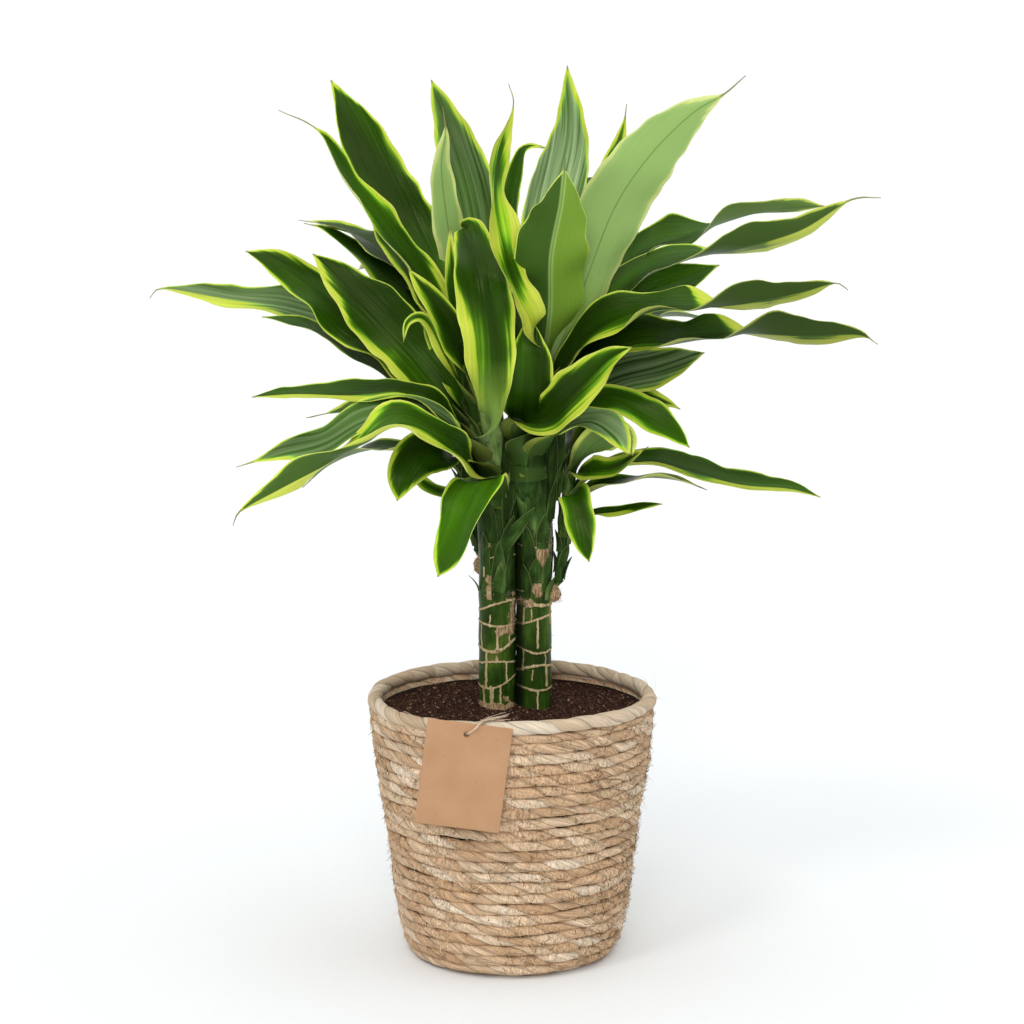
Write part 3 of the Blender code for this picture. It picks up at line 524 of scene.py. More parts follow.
def shaded_finish(name, tones, roughness, grain=0.0):
    """A dull finish whose tone is drawn for each small piece, with an optional fine grain."""
    made, tree, shader = new_finish(name)
    shade = add(tree, "Attribute", attribute_name="shade", out="Fac")
    place = add(tree, "TexCoord", out="Object")
    mottle = add(tree, "TexNoise", place, Scale=900.0, Detail=2.0)
    mixed = add(tree, "Math MULTIPLY_ADD", mottle, 0.3, shade)
    mixed = add(tree, "Math SUBTRACT", mixed, 0.15)
    colour = add(tree, "ValToRGB", mixed, stops=tones)
    if grain:
        fill(shader, Normal=add(tree, "Bump", Height=mottle, Strength=grain, Distance=0.0004))
    fill(shader, Base_Color=colour, Roughness=roughness, Specular_IOR_Level=0.15)
    return made


FIBRE_TONES = ((0.1, "#5A4022"), (0.35, "#957347"), (0.65, "#CDB38A"), (0.9, "#F0E2C8"))
fibre_finish = shaded_finish("dry_seagrass_fibre", FIBRE_TONES, 0.8)
FIBRE_SORTS = {
    "basket_fibres": {
        "density": 9000.0, "longest": 11.0 * MM, "thickness": 0.02, "lift": 0.13, "points": 6, "seed": 4,
    },
    "basket_fuzz": {
        "density": 170000.0, "longest": 5.6 * MM, "thickness": 0.06, "lift": 0.08, "upright": 3.0,
        "points": 3, "seed": 21,
    },
}
for name, sort in FIBRE_SORTS.items():
    fibres = show(name, basket_cord.data.copy())
    grow(fibres, fibre_tree, lowest=9 * MM, outward=0.15, clumping=0.85, finish=fibre_finish, **sort)
    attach(fibres, "root")
rim_fibres = show("rim_fibres", rim_wrap.data.copy())
grow(
    rim_fibres, fibre_tree, density=1500.0, longest=17.0 * MM, thickness=0.009, lift=0.25, outward=-0.6,
    seed=9, finish=fibre_finish,
)
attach(rim_fibres, "root")


# Liner: a thin dark plastic film cup that keeps the soil off the cords. Its edge is
# cut by hand, so it runs up and down a little.
LINER_TOP = 181.6
LINER_WALL = 0.9
LINER_AROUND = 120
LINER_INSET = 5.6
LINER_HEIGHTS = (9.0, 50.0, 112.0, 150.0, 172.0, LINER_TOP)


def ring_body(name, rings, fields=()):
    """A closed round body from rings of points in millimetres, and fields of one value for every point."""
    shape = bmesh.new()
    rings = [[shape.verts.new(Vector(place) * MM) for place in ring] for ring in rings]
    for low, high in zip(rings, rings[1:]):
        for at in range(len(low)):
            after = (at + 1) % len(low)
            shape.faces.new((low[at], low[after], high[after], high[at]))
    shape.faces.new(rings[0][::-1])
    shape.faces.new(rings[-1])
    mesh = settled(name, shape, 4)
    for key, values in fields:
        keep(mesh, key, np.ravel(values))
    return mesh


draw = random.Random(23)
edge_waves = [(draw.uniform(0, math.tau), count, 0.9 / count ** 0.5) for count in (3, 7, 11, 19)]
rings = []
for inner, heights in ((0.0, LINER_HEIGHTS), (LINER_WALL, LINER_HEIGHTS[::-1])):
    for height in heights:
        ring = []
        for step in range(LINER_AROUND):
            angle = math.tau * step / LINER_AROUND
            ripple = sum(share * math.sin(angle * count + start) for start, count, share in edge_waves)
            # Only the upper 30 mm ripple
            top = max(0.0, (height - 150.0) / 30.0)
            radius = outside_at(height) - LINER_INSET - inner - 0.5 * top * abs(ripple)
            ring.append((math.cos(angle) * radius, math.sin(angle) * radius, height + top * 0.8 * ripple))
        rings.append(ring)
# Black polythene film: faint grey bloom and soft creases
film, tree, shader = new_finish("black_polythene_film")
place = add(tree, "TexCoord", out="Object")
crease = add(tree, "TexNoise", place, Scale=60.0, Detail=3.0)
colour = add(tree, "ValToRGB", crease, stops=((0.3, "#1C1714"), (0.75, "#332A23")))
relief = add(tree, "Bump", Height=crease, Strength=0.5, Distance=0.001)
fill(shader, Base_Color=colour, Normal=relief, Roughness=0.65, Specular_IOR_Level=0.1)
liner_film = show("liner_film", ring_body("liner_film", rings), film)
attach(liner_film, "root")
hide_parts("liner")


# Soil: damp peat with bark crumbs, pressed down around the canes and a little mounded.
# The bed is one closed body; the crumbs, specks and root hairs lie on it.
SOIL_TOP = 181.4
SOIL_MOUND = 0.6
SOIL_AROUND = 200
SOIL_RINGS = 84
SOIL_INSET = 7.0
SOIL_SIDE_HEIGHTS = (150.0, 112.0, 50.0, 9.0, 6.6)
# The mound ends this far out, and lies this much lower for its lumps
MOUND_REACH = 94.0
MOUND_SUNK = 0.6
# The lumps: how wide and how high, and which noise
SOIL_LUMPS = ((17.0, 1.5, 3.0), (5.0, 0.9, 9.0), (1.9, 0.55, 5.0))


def soil_height(x, y):
    """The bed's height at a place in millimetres, with its lumps."""
    share = min(math.hypot(x, y) / MOUND_REACH, 1.0)
    lumps = sum(noise.noise(Vector((x, y, which)) / wide) * high for wide, high, which in SOIL_LUMPS)
    return SOIL_TOP + SOIL_MOUND * (1 - share * share) - MOUND_SUNK + lumps


soil_shape = bmesh.new()
edge = outside_at(SOIL_TOP) - SOIL_INSET
# Rings from the middle out over the top, and then down the side with its foot drawn in
bed_rings = [(edge * at / SOIL_RINGS, None) for at in range(1, SOIL_RINGS + 1)]
bed_rings += [
    (outside_at(height) - SOIL_INSET - (4.2 if height < 9.0 else 0.2), height)
    for height in SOIL_SIDE_HEIGHTS
]
rings = []
for radius, height in bed_rings:
    ring = []
    for step in range(SOIL_AROUND):
        angle = math.tau * step / SOIL_AROUND
        x, y = math.cos(angle) * radius, math.sin(angle) * radius
        ring.append(soil_shape.verts.new(Vector((x, y, height or soil_height(x, y))) * MM))
    rings.append(ring)
for inner, outer in zip(rings, rings[1:]):
    for step in range(SOIL_AROUND):
        after = (step + 1) % SOIL_AROUND
        soil_shape.faces.new((inner[step], outer[step], outer[after], inner[after]))
crown = soil_shape.verts.new(Vector((0.0, 0.0, soil_height(0.0, 0.0))) * MM)
for step in range(SOIL_AROUND):
    soil_shape.faces.new((crown, rings[0][step], rings[0][(step + 1) % SOIL_AROUND]))
soil_shape.faces.new(rings[-1][::-1])
bmesh.ops.recalc_face_normals(soil_shape, faces=soil_shape.faces)
soil_mesh = settled("soil_bed", soil_shape, SOIL_AROUND)
# Damp peat: nearly black brown, 1 mm crumbs, dull with a faint damp glint
peat, tree, shader = new_finish("damp_peat")
place = add(tree, "TexCoord", out="Object")
crumb = add(tree, "TexVoronoi", place, Scale=900.0)
grit = add(tree, "TexNoise", place, Scale=1400.0, Detail=3.0)
each = add(tree, "SeparateColor", crumb.node.outputs["Color"])
mixed = add(tree, "Math MULTIPLY_ADD", grit, 0.6, each)
mixed = add(tree, "Math SUBTRACT", mixed, 0.3)
PEAT_TONES = ((0.0, "#1C0F09"), (0.45, "#361F14"), (0.8, "#4E3121"), (0.97, "#6E4F3A"))
colour = add(tree, "ValToRGB", mixed, stops=PEAT_TONES)
height = add(tree, "Math SUBTRACT", crumb, grit)
relief = add(tree, "Bump", Height=height, Strength=1.0, Distance=0.0012)
fill(shader, Base_Color=colour, Normal=relief, Roughness=0.85, Specular_IOR_Level=0.12)
soil_bed = show("soil_bed", soil_mesh, peat)
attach(soil_bed, "root")
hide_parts("soil")

# The crumb tree strews small broken lumps, each stretched, turned and toned on its own
crumb_tree, given = new_tree(
    "soil_crumbs",
    ("Density", "Float", 100000.0),
    ("Smallest", "Vector", (0.0005, 0.0005, 0.0005)),
    ("Largest", "Vector", (0.0015, 0.0015, 0.001)),
    ("Seed", "Int", 1),
    ("Finish", "Material", None),
)
tree = crumb_tree
scattered = add(
    tree, "DistributePointsOnFaces", given["Geometry"], Density=given["Density"], Seed=given["Seed"]
)
lump = add(tree, "MeshIcoSphere", Radius=1.0, Subdivisions=1)
spot = add(tree, "InputPosition")
broken = add(tree, "TexNoise", spot, Scale=1.7, Detail=0.0, out="Color")
broken = add(tree, "VectorMath SUBTRACT", broken, (0.5, 0.5, 0.5))
lump = add(tree, "SetPosition", lump, Offset=broken)
spin = add(tree, "RandomValue", (0.0, 0.0, 0.0), (6.2, 6.2, 6.2), Seed=2, data_type="FLOAT_VECTOR")
sizes = add(tree, "RandomValue", given["Smallest"], given["Largest"], Seed=3, data_type="FLOAT_VECTOR")
strewn = add(tree, "InstanceOnPoints", scattered, Instance=lump, Rotation=spin, Scale=sizes)
shade = add(tree, "RandomValue", 0.0, 1.0, Seed=8)
strewn = add(tree, "StoreNamedAttribute", strewn, Name="shade", Value=shade, domain="INSTANCE")
close(tree, strewn, given["Finish"])

# The top of the bed alone, without the ground that the canes stand in
CANE_PLACES = ((-11.0, 9.0, 13.6), (17.0, 9.0, 12.2))
top_shape = bmesh.new()
top_shape.from_mesh(soil_mesh)
covered = []
for face in top_shape.faces:
    middle = face.calc_center_median() / MM
    in_cane = any(math.hypot(middle.x - x, middle.y - y) < radius for x, y, radius in CANE_PLACES)
    if middle.z < SOIL_TOP - 4.0 or in_cane:
        covered.append(face)
bmesh.ops.delete(top_shape, geom=covered, context="FACES")
top_mesh = settled("soil_top", top_shape)
CRUMB_TONES = ((0.0, "#1A0E09"), (0.5, "#351F15"), (0.85, "#4C3122"), (0.97, "#6A4A38"), (1.0, "#A58A72"))
crumb_finish = shaded_finish("peat_and_bark_crumbs", CRUMB_TONES, 0.85, 0.6)
soil_crumbs = show("soil_crumbs", top_mesh.copy())
grow(
    soil_crumbs, crumb_tree, density=300000.0, smallest=(0.0004, 0.0004, 0.0003),
    largest=(0.0012, 0.0011, 0.0008), seed=6, finish=crumb_finish,
)
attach(soil_crumbs, "root")
SPECK_TONES = ((0.0, "#5A3C2C"), (0.5, "#8F7058"), (1.0, "#BFA88F"))
speck_finish = shaded_finish("wood_fibre_in_soil", SPECK_TONES, 0.8)
soil_fibres = show("soil_fibres", top_mesh)
grow(
    soil_fibres, fibre_tree, density=5000.0, longest=6.0 * MM, thickness=0.028, lift=0.25, seed=12,
    finish=speck_finish,
)
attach(soil_fibres, "root")


# Canes: two cut woody stems with green bark, ringed by pale scars where leaves were shed
# and netted by upright seams, with rough fibrous patches where bark has torn. A round
# knob stands on each where a side shoot leaves it.
CANE_FOOT = 108.0
CANE_AROUND = 120
CANE_STEP = 0.5
CANE_SEEN_FROM = 172.0
BEHIND_BOW = 1.5
TORN_EDGE = 1.6
KNOB_RINGS = 37
KNOB_AROUND = 40
KNOB_SHARE = 0.6
SCAR_RELIEF = 0.55
# Each scar: its height at the left edge, the middle and the right edge, and its width.
# Each seam: how far aside, its top, its foot and its width. Each patch: aside and height ranges
CANES = {
    "cane_left": {
        "middle": (-11.0, 9.0), "radius": 13.2, "top": 305.0, "seed": 31, "pressed": 0.9, "stain_and_painted_shade": 12.0,
        "scars": (
            (197.8, 197.8, 206.7, 0.9), (214.5, 217.0, 215.0, 0.8), (226.8, 224.6, 233.5, 1.3),
            (245.8, 243.3, 244.0, 0.8), (253.6, 260.0, 262.0, 1.0), (292.0, 294.5, 295.0, 0.5),
        ),
        "seams": (
            (-4.8, 251, 243, 0.6), (-11.0, 243, 228, 0.9), (0.3, 242, 225, 1.0), (8.8, 236, 228, 0.9),
            (-7.6, 224, 198, 1.2), (6.8, 216, 201, 0.8), (-4.3, 198, 182, 1.2), (-2.9, 197, 184, 0.6),
            (2.7, 198, 184, 0.7), (-9.5, 198, 185, 1.2), (-9.4, 304, 280, 1.0), (11.6, 262, 246, 1.4),
        ),
        "patches": (
            (-1.0, 12.5, 236, 244), (-8.0, 2.0, 262, 281), (4.0, 13.0, 262, 270), (8.0, 13.0, 244, 262),
            (-13.0, 13.0, 179, 186), (5.0, 9.0, 186, 191), (-1.5, 2.0, 217, 226), (-13.0, -4.0, 300.5, 306),
        ),
    },
    "cane_right": {
        "middle": (17.0, 9.0), "radius": 11.8, "top": 320.0, "seed": 47, "pressed": -2.4, "stain_and_painted_shade": 2.5,
        "scars": (
            (198.3, 195.2, 196.0, 0.9), (209.2, 213.5, 212.3, 1.0), (227.4, 223.0, 224.6, 0.8),
            (243.8, 247.5, 251.4, 1.0), (262.0, 259.0, 258.0, 1.3), (269.0, 270.0, 278.0, 0.7),
            (303.0, 301.0, 302.0, 0.6),
        ),
        "seams": (
            (-3.0, 255, 247, 0.6), (-8.2, 256, 246, 0.9), (1.6, 248, 227, 0.9), (-8.4, 225, 210, 0.7),
            (7.3, 221, 215, 0.7), (8.0, 213, 198, 1.3), (-2.0, 210, 203, 0.6), (1.9, 194, 181, 0.8),
            (10.8, 261, 244, 1.2), (2.0, 309, 277, 1.4), (7.0, 305, 280, 1.0), (-2.0, 300, 281, 0.8),
        ),
        "patches": (
            (-13.0, -1.5, 257, 264), (-3.0, 6.0, 264, 279), (1.0, 11.0, 286, 309), (-11.0, 11.0, 315, 321),
        ),
    },
}
# Where side shoots leave: the knob's place and radius, and the stub's top and radius
KNOBS = {
    "cane_left": ((-20.5, 18.5, 284.0), 7.5, (-24.0, 22.0, 295.0), 4.4),
    "cane_right": ((29.5, 7.0, 265.0), 6.0, (34.0, 5.5, 275.0), 3.8),
}


def rough(x, y, z, scale):
    """Smooth noise over arrays of places, about -1 to 1."""
    flat = [noise.noise(Vector(spot) / scale) for spot in zip(np.ravel(x), np.ravel(y), np.ravel(z))]
    return np.array(flat).reshape(np.shape(x))


def cane_mesh(name, cane):
    """The cane's skin as a fine grid, raised along its scars and seams and frayed at its patches."""
    draw = random.Random(cane["seed"])
    radius, top = cane["radius"], cane["top"]
    heights = np.concatenate(([CANE_FOOT], np.arange(CANE_SEEN_FROM, top, CANE_STEP), [top]))
    front_turns = np.arange(CANE_AROUND) * math.tau / CANE_AROUND
    turns, level = np.meshgrid(front_turns - math.pi / 2, heights)
    x, y = np.cos(turns) * radius, np.sin(turns) * radius
    # Seen from the front, aside runs from -1 at the left edge to 1 at the right edge
    aside, forward = np.sin(turns + math.pi / 2), np.cos(turns + math.pi / 2)
    arc = np.arctan2(aside, forward) * radius
    wobble = rough(x, y, level, 3.1) * 0.7 + rough(x, y, level, 1.3) * 0.35

    def apart(turn, sway=0.0):
        """How far each place lies from an upright line, round the cane."""
        gap = np.abs(arc - turn + sway)
        return np.minimum(gap, math.tau * radius - gap)

    def hidden(turn):
        """An upright line on the side that the front hides."""
        return (turn if turn < math.pi else turn - math.tau) * radius

    scar = np.zeros_like(level)
    for left, middle, right, width in cane["scars"]:
        between, slope = (left + right) / 2, (right - left) / 2
        bow = np.where(forward >= 0, middle - between, BEHIND_BOW)
        ring = between + slope * aside + bow * (1 - aside ** 2)
        off = (level - ring + wobble * 0.9) / (width * 1.2)
        scar = np.maximum(scar, np.exp(-off * off * 1.6))
    seams = [
        (math.asin(max(-1, min(1, across / radius))) * radius, high, low, width)
        for across, high, low, width in cane["seams"]
    ]
    for lower, upper in zip(cane["scars"], cane["scars"][1:]):
        for _seam in range(2):
            turn = hidden(draw.uniform(0.6 * math.pi, 1.4 * math.pi))
            seams.append((turn, min(upper[:3]), max(lower[:3]), draw.uniform(0.6, 1.1)))
    for turn, high, low, width in seams:
        beyond = np.maximum(np.maximum(level - high, low - level), 0.0)
        scar = np.maximum(scar, np.exp(-(apart(turn, wobble * 0.8) / width) ** 2 * 1.6 - beyond ** 2))
    patch = np.zeros_like(level)
    ragged = rough(x, y, level, 4.0) * 2.4 + rough(x, y, level, 1.2) * 1.1
    for left, right, low, high in cane["patches"]:
        inside, shown = np.minimum(level - low, high - level), 1.0
        if left > -radius + 2 or right < radius - 2:
            inside = np.minimum(np.minimum(aside * radius - left, right - aside * radius), inside)
            shown = forward > -0.15
        patch = np.maximum(patch, np.clip((inside + ragged) / TORN_EDGE, 0, 1) * shown)
    for _torn in range(6):
        turn, mid = hidden(draw.uniform(0.65 * math.pi, 1.35 * math.pi)), draw.uniform(200, top - 15)
        inside = draw.uniform(3, 6) - apart(turn) - np.abs(level - mid) * 0.5
        patch = np.maximum(patch, np.clip((inside + ragged) / TORN_EDGE, 0, 1))
    fray = rough(x * 3, y * 3, level * 0.5, 1.0)
    swell = 0.25 * np.sin(level / 5.2) + rough(x, y, level, 9.0) * 0.35
    out = radius + swell + SCAR_RELIEF * scar * (1 - 0.6 * patch) + patch * (0.15 + 0.4 * fray)
    # The two canes have grown thick against each other, and the side of each that faces the other is painted
    # dark as shade
    inner = np.clip(aside * np.sign(cane["pressed"]), 0.0, 1.0)
    out = out + abs(cane["pressed"]) * inner ** 4
    out[0], out[1] = radius - 0.4, radius
    out[-1] -= 0.6
    across, deep = cane["middle"]
    rings = np.stack((across + np.cos(turns) * out, deep + np.sin(turns) * out, level), axis=2)
    return ring_body(name, rings, (("scar", scar), ("patch", patch), ("stain_and_painted_shade", inner ** cane["stain_and_painted_shade"])))


def knob_shape(name, place, size, stub_top, stub_size):
    """The knob and its stub as one lumpy body that leans towards the shoot."""
    place, stub_top = Vector(place), Vector(stub_top)
    rings, patch = [], []
    for step in range(KNOB_RINGS):
        share = step / (KNOB_RINGS - 1)
        turn = math.pi * min(share / KNOB_SHARE, 1.0) * 0.82
        middle = place + Vector((0.0, 0.0, -math.cos(turn) * size))
        wide = math.sin(turn) * size
        climb = max(0.0, (share - KNOB_SHARE) / 0.4)
        if climb:
            middle = middle.lerp(stub_top, climb)
            wide = wide + (stub_size - wide) * climb
        wide = max(wide, 0.15)
        ring = []
        for at in range(KNOB_AROUND):
            flat = bearing(math.tau * at / KNOB_AROUND)
            here = middle + flat * wide
            lump = noise.noise(here / 2.2) * 0.8 + noise.noise(here / 0.9) * 0.45
            ring.append(middle + flat * (wide + lump * min(wide / 3, 1.0) * (1.0 if share < 0.85 else 0.4)))
            patch.append(1.0 - climb)
        rings.append(ring)
    plain = [0.0] * len(patch)
    return ring_body(name, rings, (("scar", plain), ("patch", patch), ("stain_and_painted_shade", plain)))


# Green cane bark: satin dark green mottled with olive, cream scar tissue, tan torn fibre
bark, tree, shader = new_finish("green_cane_bark")
place = add(tree, "TexCoord", out="Object")
scar, patch, stain_and_painted_shade = (
    add(tree, "Attribute", attribute_name=name, out="Fac") for name in ("scar", "patch", "stain_and_painted_shade")
)
grain = stretched(tree, place, (620.0, 620.0, 60.0), 3.0)
cloud = stretched(tree, place, (70.0, 70.0, 34.0), 3.0)
fibre = stretched(tree, place, (1500.0, 1500.0, 130.0), 2.0, 0.6)
mixed = add(tree, "Math MULTIPLY_ADD", grain, 0.35, cloud)
mixed = add(tree, "Math SUBTRACT", mixed, 0.175)
BARK_TONES = (
    (0.28, "#182C09"), (0.42, "#233B0D"), (0.54, "#304D12"), (0.64, "#46601D"), (0.76, "#666731")
)
green = add(tree, "ValToRGB", mixed, stops=BARK_TONES)
SCAR_TONES = ((0.25, "#8E774C"), (0.5, "#BFAA7E"), (0.75, "#D8CBA6"))
cream = add(tree, "ValToRGB", grain, stops=SCAR_TONES)
TORN_TONES = ((0.25, "#4A3421"), (0.42, "#87694A"), (0.58, "#BFA27C"), (0.75, "#DBC9A8"))
torn = add(tree, "ValToRGB", fibre, stops=TORN_TONES)
on_scar = add(tree, "MapRange", scar, 0.25, 0.62)
shadow = add(tree, "MapRange", scar, 0.04, 0.2, 1.0, 0.62)
green = add(tree, "VectorMath SCALE", green, shadow)
colour = add(tree, "Mix", on_scar, green, cream, data_type="RGBA")
on_patch = add(tree, "Math MULTIPLY_ADD", fibre, 0.9, patch)
on_patch = add(tree, "MapRange", on_patch, 0.75, 1.1)
colour = add(tree, "Mix", on_patch, colour, torn, data_type="RGBA")
# Painted shade: the bark turns nearly black towards the side that presses on the other cane
stain_and_painted_shade = add(tree, "MapRange", stain_and_painted_shade, 0.1, 0.6, To_Max=0.9)
colour = add(tree, "Mix", stain_and_painted_shade, colour, linear("#0D140A"), data_type="RGBA")
dull = add(tree, "Math MAXIMUM", on_scar, on_patch)
dull = add(tree, "MapRange", dull, To_Min=0.42, To_Max=0.85)
height = add(tree, "Math MULTIPLY", fibre, on_patch)
height = add(tree, "Math MULTIPLY_ADD", grain, 0.3, height)
relief = add(tree, "Bump", Height=height, Strength=0.6, Distance=0.0006)
# Green skin glints yellow-green
GREEN_GLINT = linear("#D4E2A0")
fill(
    shader, Base_Color=colour, Roughness=dull, Normal=relief, Specular_IOR_Level=0.25,
    Specular_Tint=GREEN_GLINT,
)

TORN_FIBRE_TONES = ((0.0, "#7A5C3C"), (0.5, "#B89A72"), (1.0, "#E2D4B4"))
torn_finish = shaded_finish("torn_bark_fibre", TORN_FIBRE_TONES, 0.8)
for name, cane in CANES.items():
    shape = bmesh.new()
    shape.from_mesh(cane_mesh(name, cane))
    shape.from_mesh(knob_shape(name + "_knob", *KNOBS[name]))
    skin = bpy.data.meshes.new(name + "_skin")
    shape.to_mesh(skin)
    # Only the torn patches carry loose fibre
    torn_values = skin.attributes["patch"].data
    shape.verts.ensure_lookup_table()
    whole = [
        face for face in shape.faces
        if len(face.verts) != 4 or min(torn_values[corner.index].value for corner in face.verts) < 0.6
    ]
    bmesh.ops.delete(shape, geom=whole, context="FACES")
    ground = settled(name + "_torn", shape)
    cane_skin = show(name + "_skin", skin, bark)
    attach(cane_skin, "root")
    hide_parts(name)
    torn_fibres = show(name + "_fibres", ground)
    grow(
        torn_fibres, fibre_tree, density=330000.0, longest=4.5 * MM, thickness=0.035, lift=0.3,
        seed=cane["seed"], finish=torn_finish,
    )
    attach(torn_fibres, "root")


# Leaf blades: each a long waxy strap that wraps the stem at its pale base, opens into a
# channelled blade with waved, yellow-green margins, and dries to a thread at the tip.
# Their paths are in millimetres, read from the front: across, up and towards the viewer.
DEPTH_SPREAD = 1.4
BLADE_STEPS = 76
BLADE_BASE_SHARE = 0.28
BLADE_TIP_SHARPNESS = 2.5
BASE_ANGLE = 48.0
SHEATH_BELOW = 14.0
CLASP_REACH = 62.0
CLASP_SPREAD = 1.2
THREAD_WIDTH = 1.3
UNEVEN = 0.16
# The shares of a blade's length between which each margin changes from its first width to its last
LOW_MARGIN_CHANGE = (0.58, 0.68)
HIGH_MARGIN_CHANGE = (0.5, 0.7)
# Painted sheen, see-through half, tip sharpness and narrow neck of a blade that has none of its own
PLAIN_SKIN = (0.0, 0.0, BLADE_TIP_SHARPNESS, 0.0)
# The stems: x, y, height and radius
STEMS = {
    "crown_left": (
        (-11, 9, 305.3, 12.6), (-11, 9, 313, 12.6), (-13, 10, 345, 12.5), (-18, 9, 385, 13.2),
        (-24, 6, 420, 12.5), (-28, 2, 446, 9.0), (-30, 2, 464, 4.0),
    ),
    "crown_right": (
        (17, 9, 320.3, 11.4), (17, 9, 326, 11.6), (12, 1, 352, 13.8), (10, 0, 390, 14.5),
        (15, 0, 425, 12.5), (20, 1, 448, 9.0), (22, 1, 466, 4.0),
    ),
    "side_shoot": (
        (34, 5.5, 275.3, 3.7), (34, 5.5, 279, 3.7), (37.5, 5, 302, 4.2), (40, 7, 335, 4.6),
        (43, 11, 362, 4.6), (44, 12, 374, 2.4),
    ),
    "back_shoot": (
        (-24, 22, 295.3, 4.3), (-24, 22, 300, 4.3), (-32, 29, 330, 4.8), (-37, 35, 358, 5.0),
        (-39, 39, 376, 4.0), (-39.5, 40, 384, 2.4),
    ),
}
# The blade tree sweeps a flat ring along each line, bends it into a channel across the
# blade, and lifts its margins in long waves and short ripples
leaf_tree, given = new_tree(
    "leaf_blades",
    ("Columns", "Int", 32),
    ("Half Thickness", "Float", 0.0003),
    ("Wave Length", "Float", 0.062),
    ("Ripple", "Float", 0.0028),
    ("Ripple Scale", "Float", 60.0),
    ("Rib Depth", "Float", 0.0004),
    ("Finish", "Material", None),
)
tree = leaf_tree
line = add(tree, "MeshToCurve", given["Geometry"])
spot = add(tree, "InputPosition")
line = add(tree, "StoreNamedAttribute", line, Name="middle", Value=spot, data_type="FLOAT_VECTOR")
ring = add(tree, "CurvePrimitiveCircle", Resolution=given["Columns"], Radius=1.0)
parts = add(tree, "SeparateXYZ", spot).node.outputs
ring = add(tree, "StoreNamedAttribute", ring, Name="edge", Value=parts["X"])
ring = add(tree, "StoreNamedAttribute", ring, Name="side", Value=parts["Y"])
blades = add(tree, "CurveToMesh", line, ring, Fill_Caps=True)
middle, facing, across = (
    add(tree, "InputNamedAttribute", name, data_type="FLOAT_VECTOR")
    for name in ("middle", "facing", "across")
)
half, curl, wave, along, tone, edge, side = (
    add(tree, "InputNamedAttribute", name)
    for name in ("half", "curl", "wave", "along", "tone", "edge", "side")
)
# The channel: each place moves along a round arc of the blade's curl
off = add(tree, "Math MULTIPLY", edge, half)
bend = add(tree, "Math MULTIPLY", off, curl)
aside = add(tree, "Math SINE", bend)
aside = add(tree, "Math DIVIDE", aside, curl)
lift = add(tree, "Math COSINE", bend)
lift = add(tree, "Math SUBTRACT", 1.0, lift)
lift = add(tree, "Math DIVIDE", lift, curl)
# Long waves that grow towards the margins, a little later on one side
outer = add(tree, "Math ABSOLUTE", edge)
turn = add(tree, "Math DIVIDE", along, given["Wave Length"])
turn = add(tree, "Math MULTIPLY", turn, math.tau)
turn = add(tree, "Math MULTIPLY_ADD", edge, 1.1, turn)
swell = add(tree, "Math SINE", turn)
swell = add(tree, "Math MULTIPLY", swell, wave)
lift = add(tree, "Math MULTIPLY_ADD", outer, swell, lift)
# Short ripples at the very margins
which = add(tree, "Math SIGN", edge)
ripple_at = add(tree, "CombineXYZ", along, which, tone)
ripple_at = add(tree, "VectorMath MULTIPLY", ripple_at, (1.0, 3.0, 7.0))
ripple = add(tree, "TexNoise", ripple_at, Scale=given["Ripple Scale"], Detail=1.0)
ripple = add(tree, "Math SUBTRACT", ripple, 0.5)
ripple = add(tree, "Math MULTIPLY", ripple, given["Ripple"])
frill = add(tree, "Math POWER", outer, 4.0)
lift = add(tree, "Math MULTIPLY_ADD", frill, ripple, lift)
# The rib is a groove about 2 mm wide
rib = add(tree, "Math MULTIPLY", off, 900.0)
rib = add(tree, "Math POWER", rib, 2.0)
rib = add(tree, "Math ADD", rib, 1.0)
rib = add(tree, "Math DIVIDE", given["Rib Depth"], rib)
lift = add(tree, "Math SUBTRACT", lift, rib)
lift = add(tree, "Math MULTIPLY_ADD", side, given["Half Thickness"], lift)
aside = add(tree, "VectorMath SCALE", across, aside)
lift = add(tree, "VectorMath SCALE", facing, lift)
place = add(tree, "VectorMath ADD", middle, aside)
place = add(tree, "VectorMath ADD", place, lift)
blades = add(tree, "SetPosition", blades, Position=place)
close(tree, blades, given["Finish"])


def stem_read(name, height, column):
    """One column of a stem's table at a height in millimetres."""
    table = STEMS[name]
    return float(np.interp(height, [point[2] for point in table], [point[column] for point in table]))


def stem_point(name, height):
    """The place on a stem's axis at a height in millimetres."""
    return Vector((stem_read(name, height, 0), stem_read(name, height, 1), height)) * MM


def from_front(across, up, towards):
    """A point read on the upright middle plane, slid along its line of sight towards the viewer."""
    on_plane = Vector((across, 0.0, up)) * MM
    return EYE + (on_plane - EYE) * (1.0 - towards * DEPTH_SPREAD * MM / -EYE.y)


def seen(width, faces, path, fold=12, wave=1.5, tail=0):
    """A leaf read from the front. Faces say how its upper face turns from the viewer along it."""
    return width, "seen", faces, fold, wave, tail, [from_front(*point) for point in path]


def arching(width, roll, path):
    """A leaf that arches over with its upper face to the sky and rolls towards the viewer."""
    return width, "arching", (roll, roll, roll), 12, 1.5, 0, [from_front(*point) for point in path]


def grown(here, around, rise, droop, length, width):
    """A leaf on the side that the front hides: it leaves the stem and follows a falling slope."""
    outward = bearing(math.radians(around))
    points = []
    for leg in range(5):
        slope = math.radians(rise + (droop - rise) * leg / 4)
        here = here + (outward * math.cos(slope) + Vector((0.0, 0.0, math.sin(slope)))) * length * MM / 5
        points.append(here)
    return width, "arching", (0.0, 0.0, 0.0), 12, 2.0, 8, points


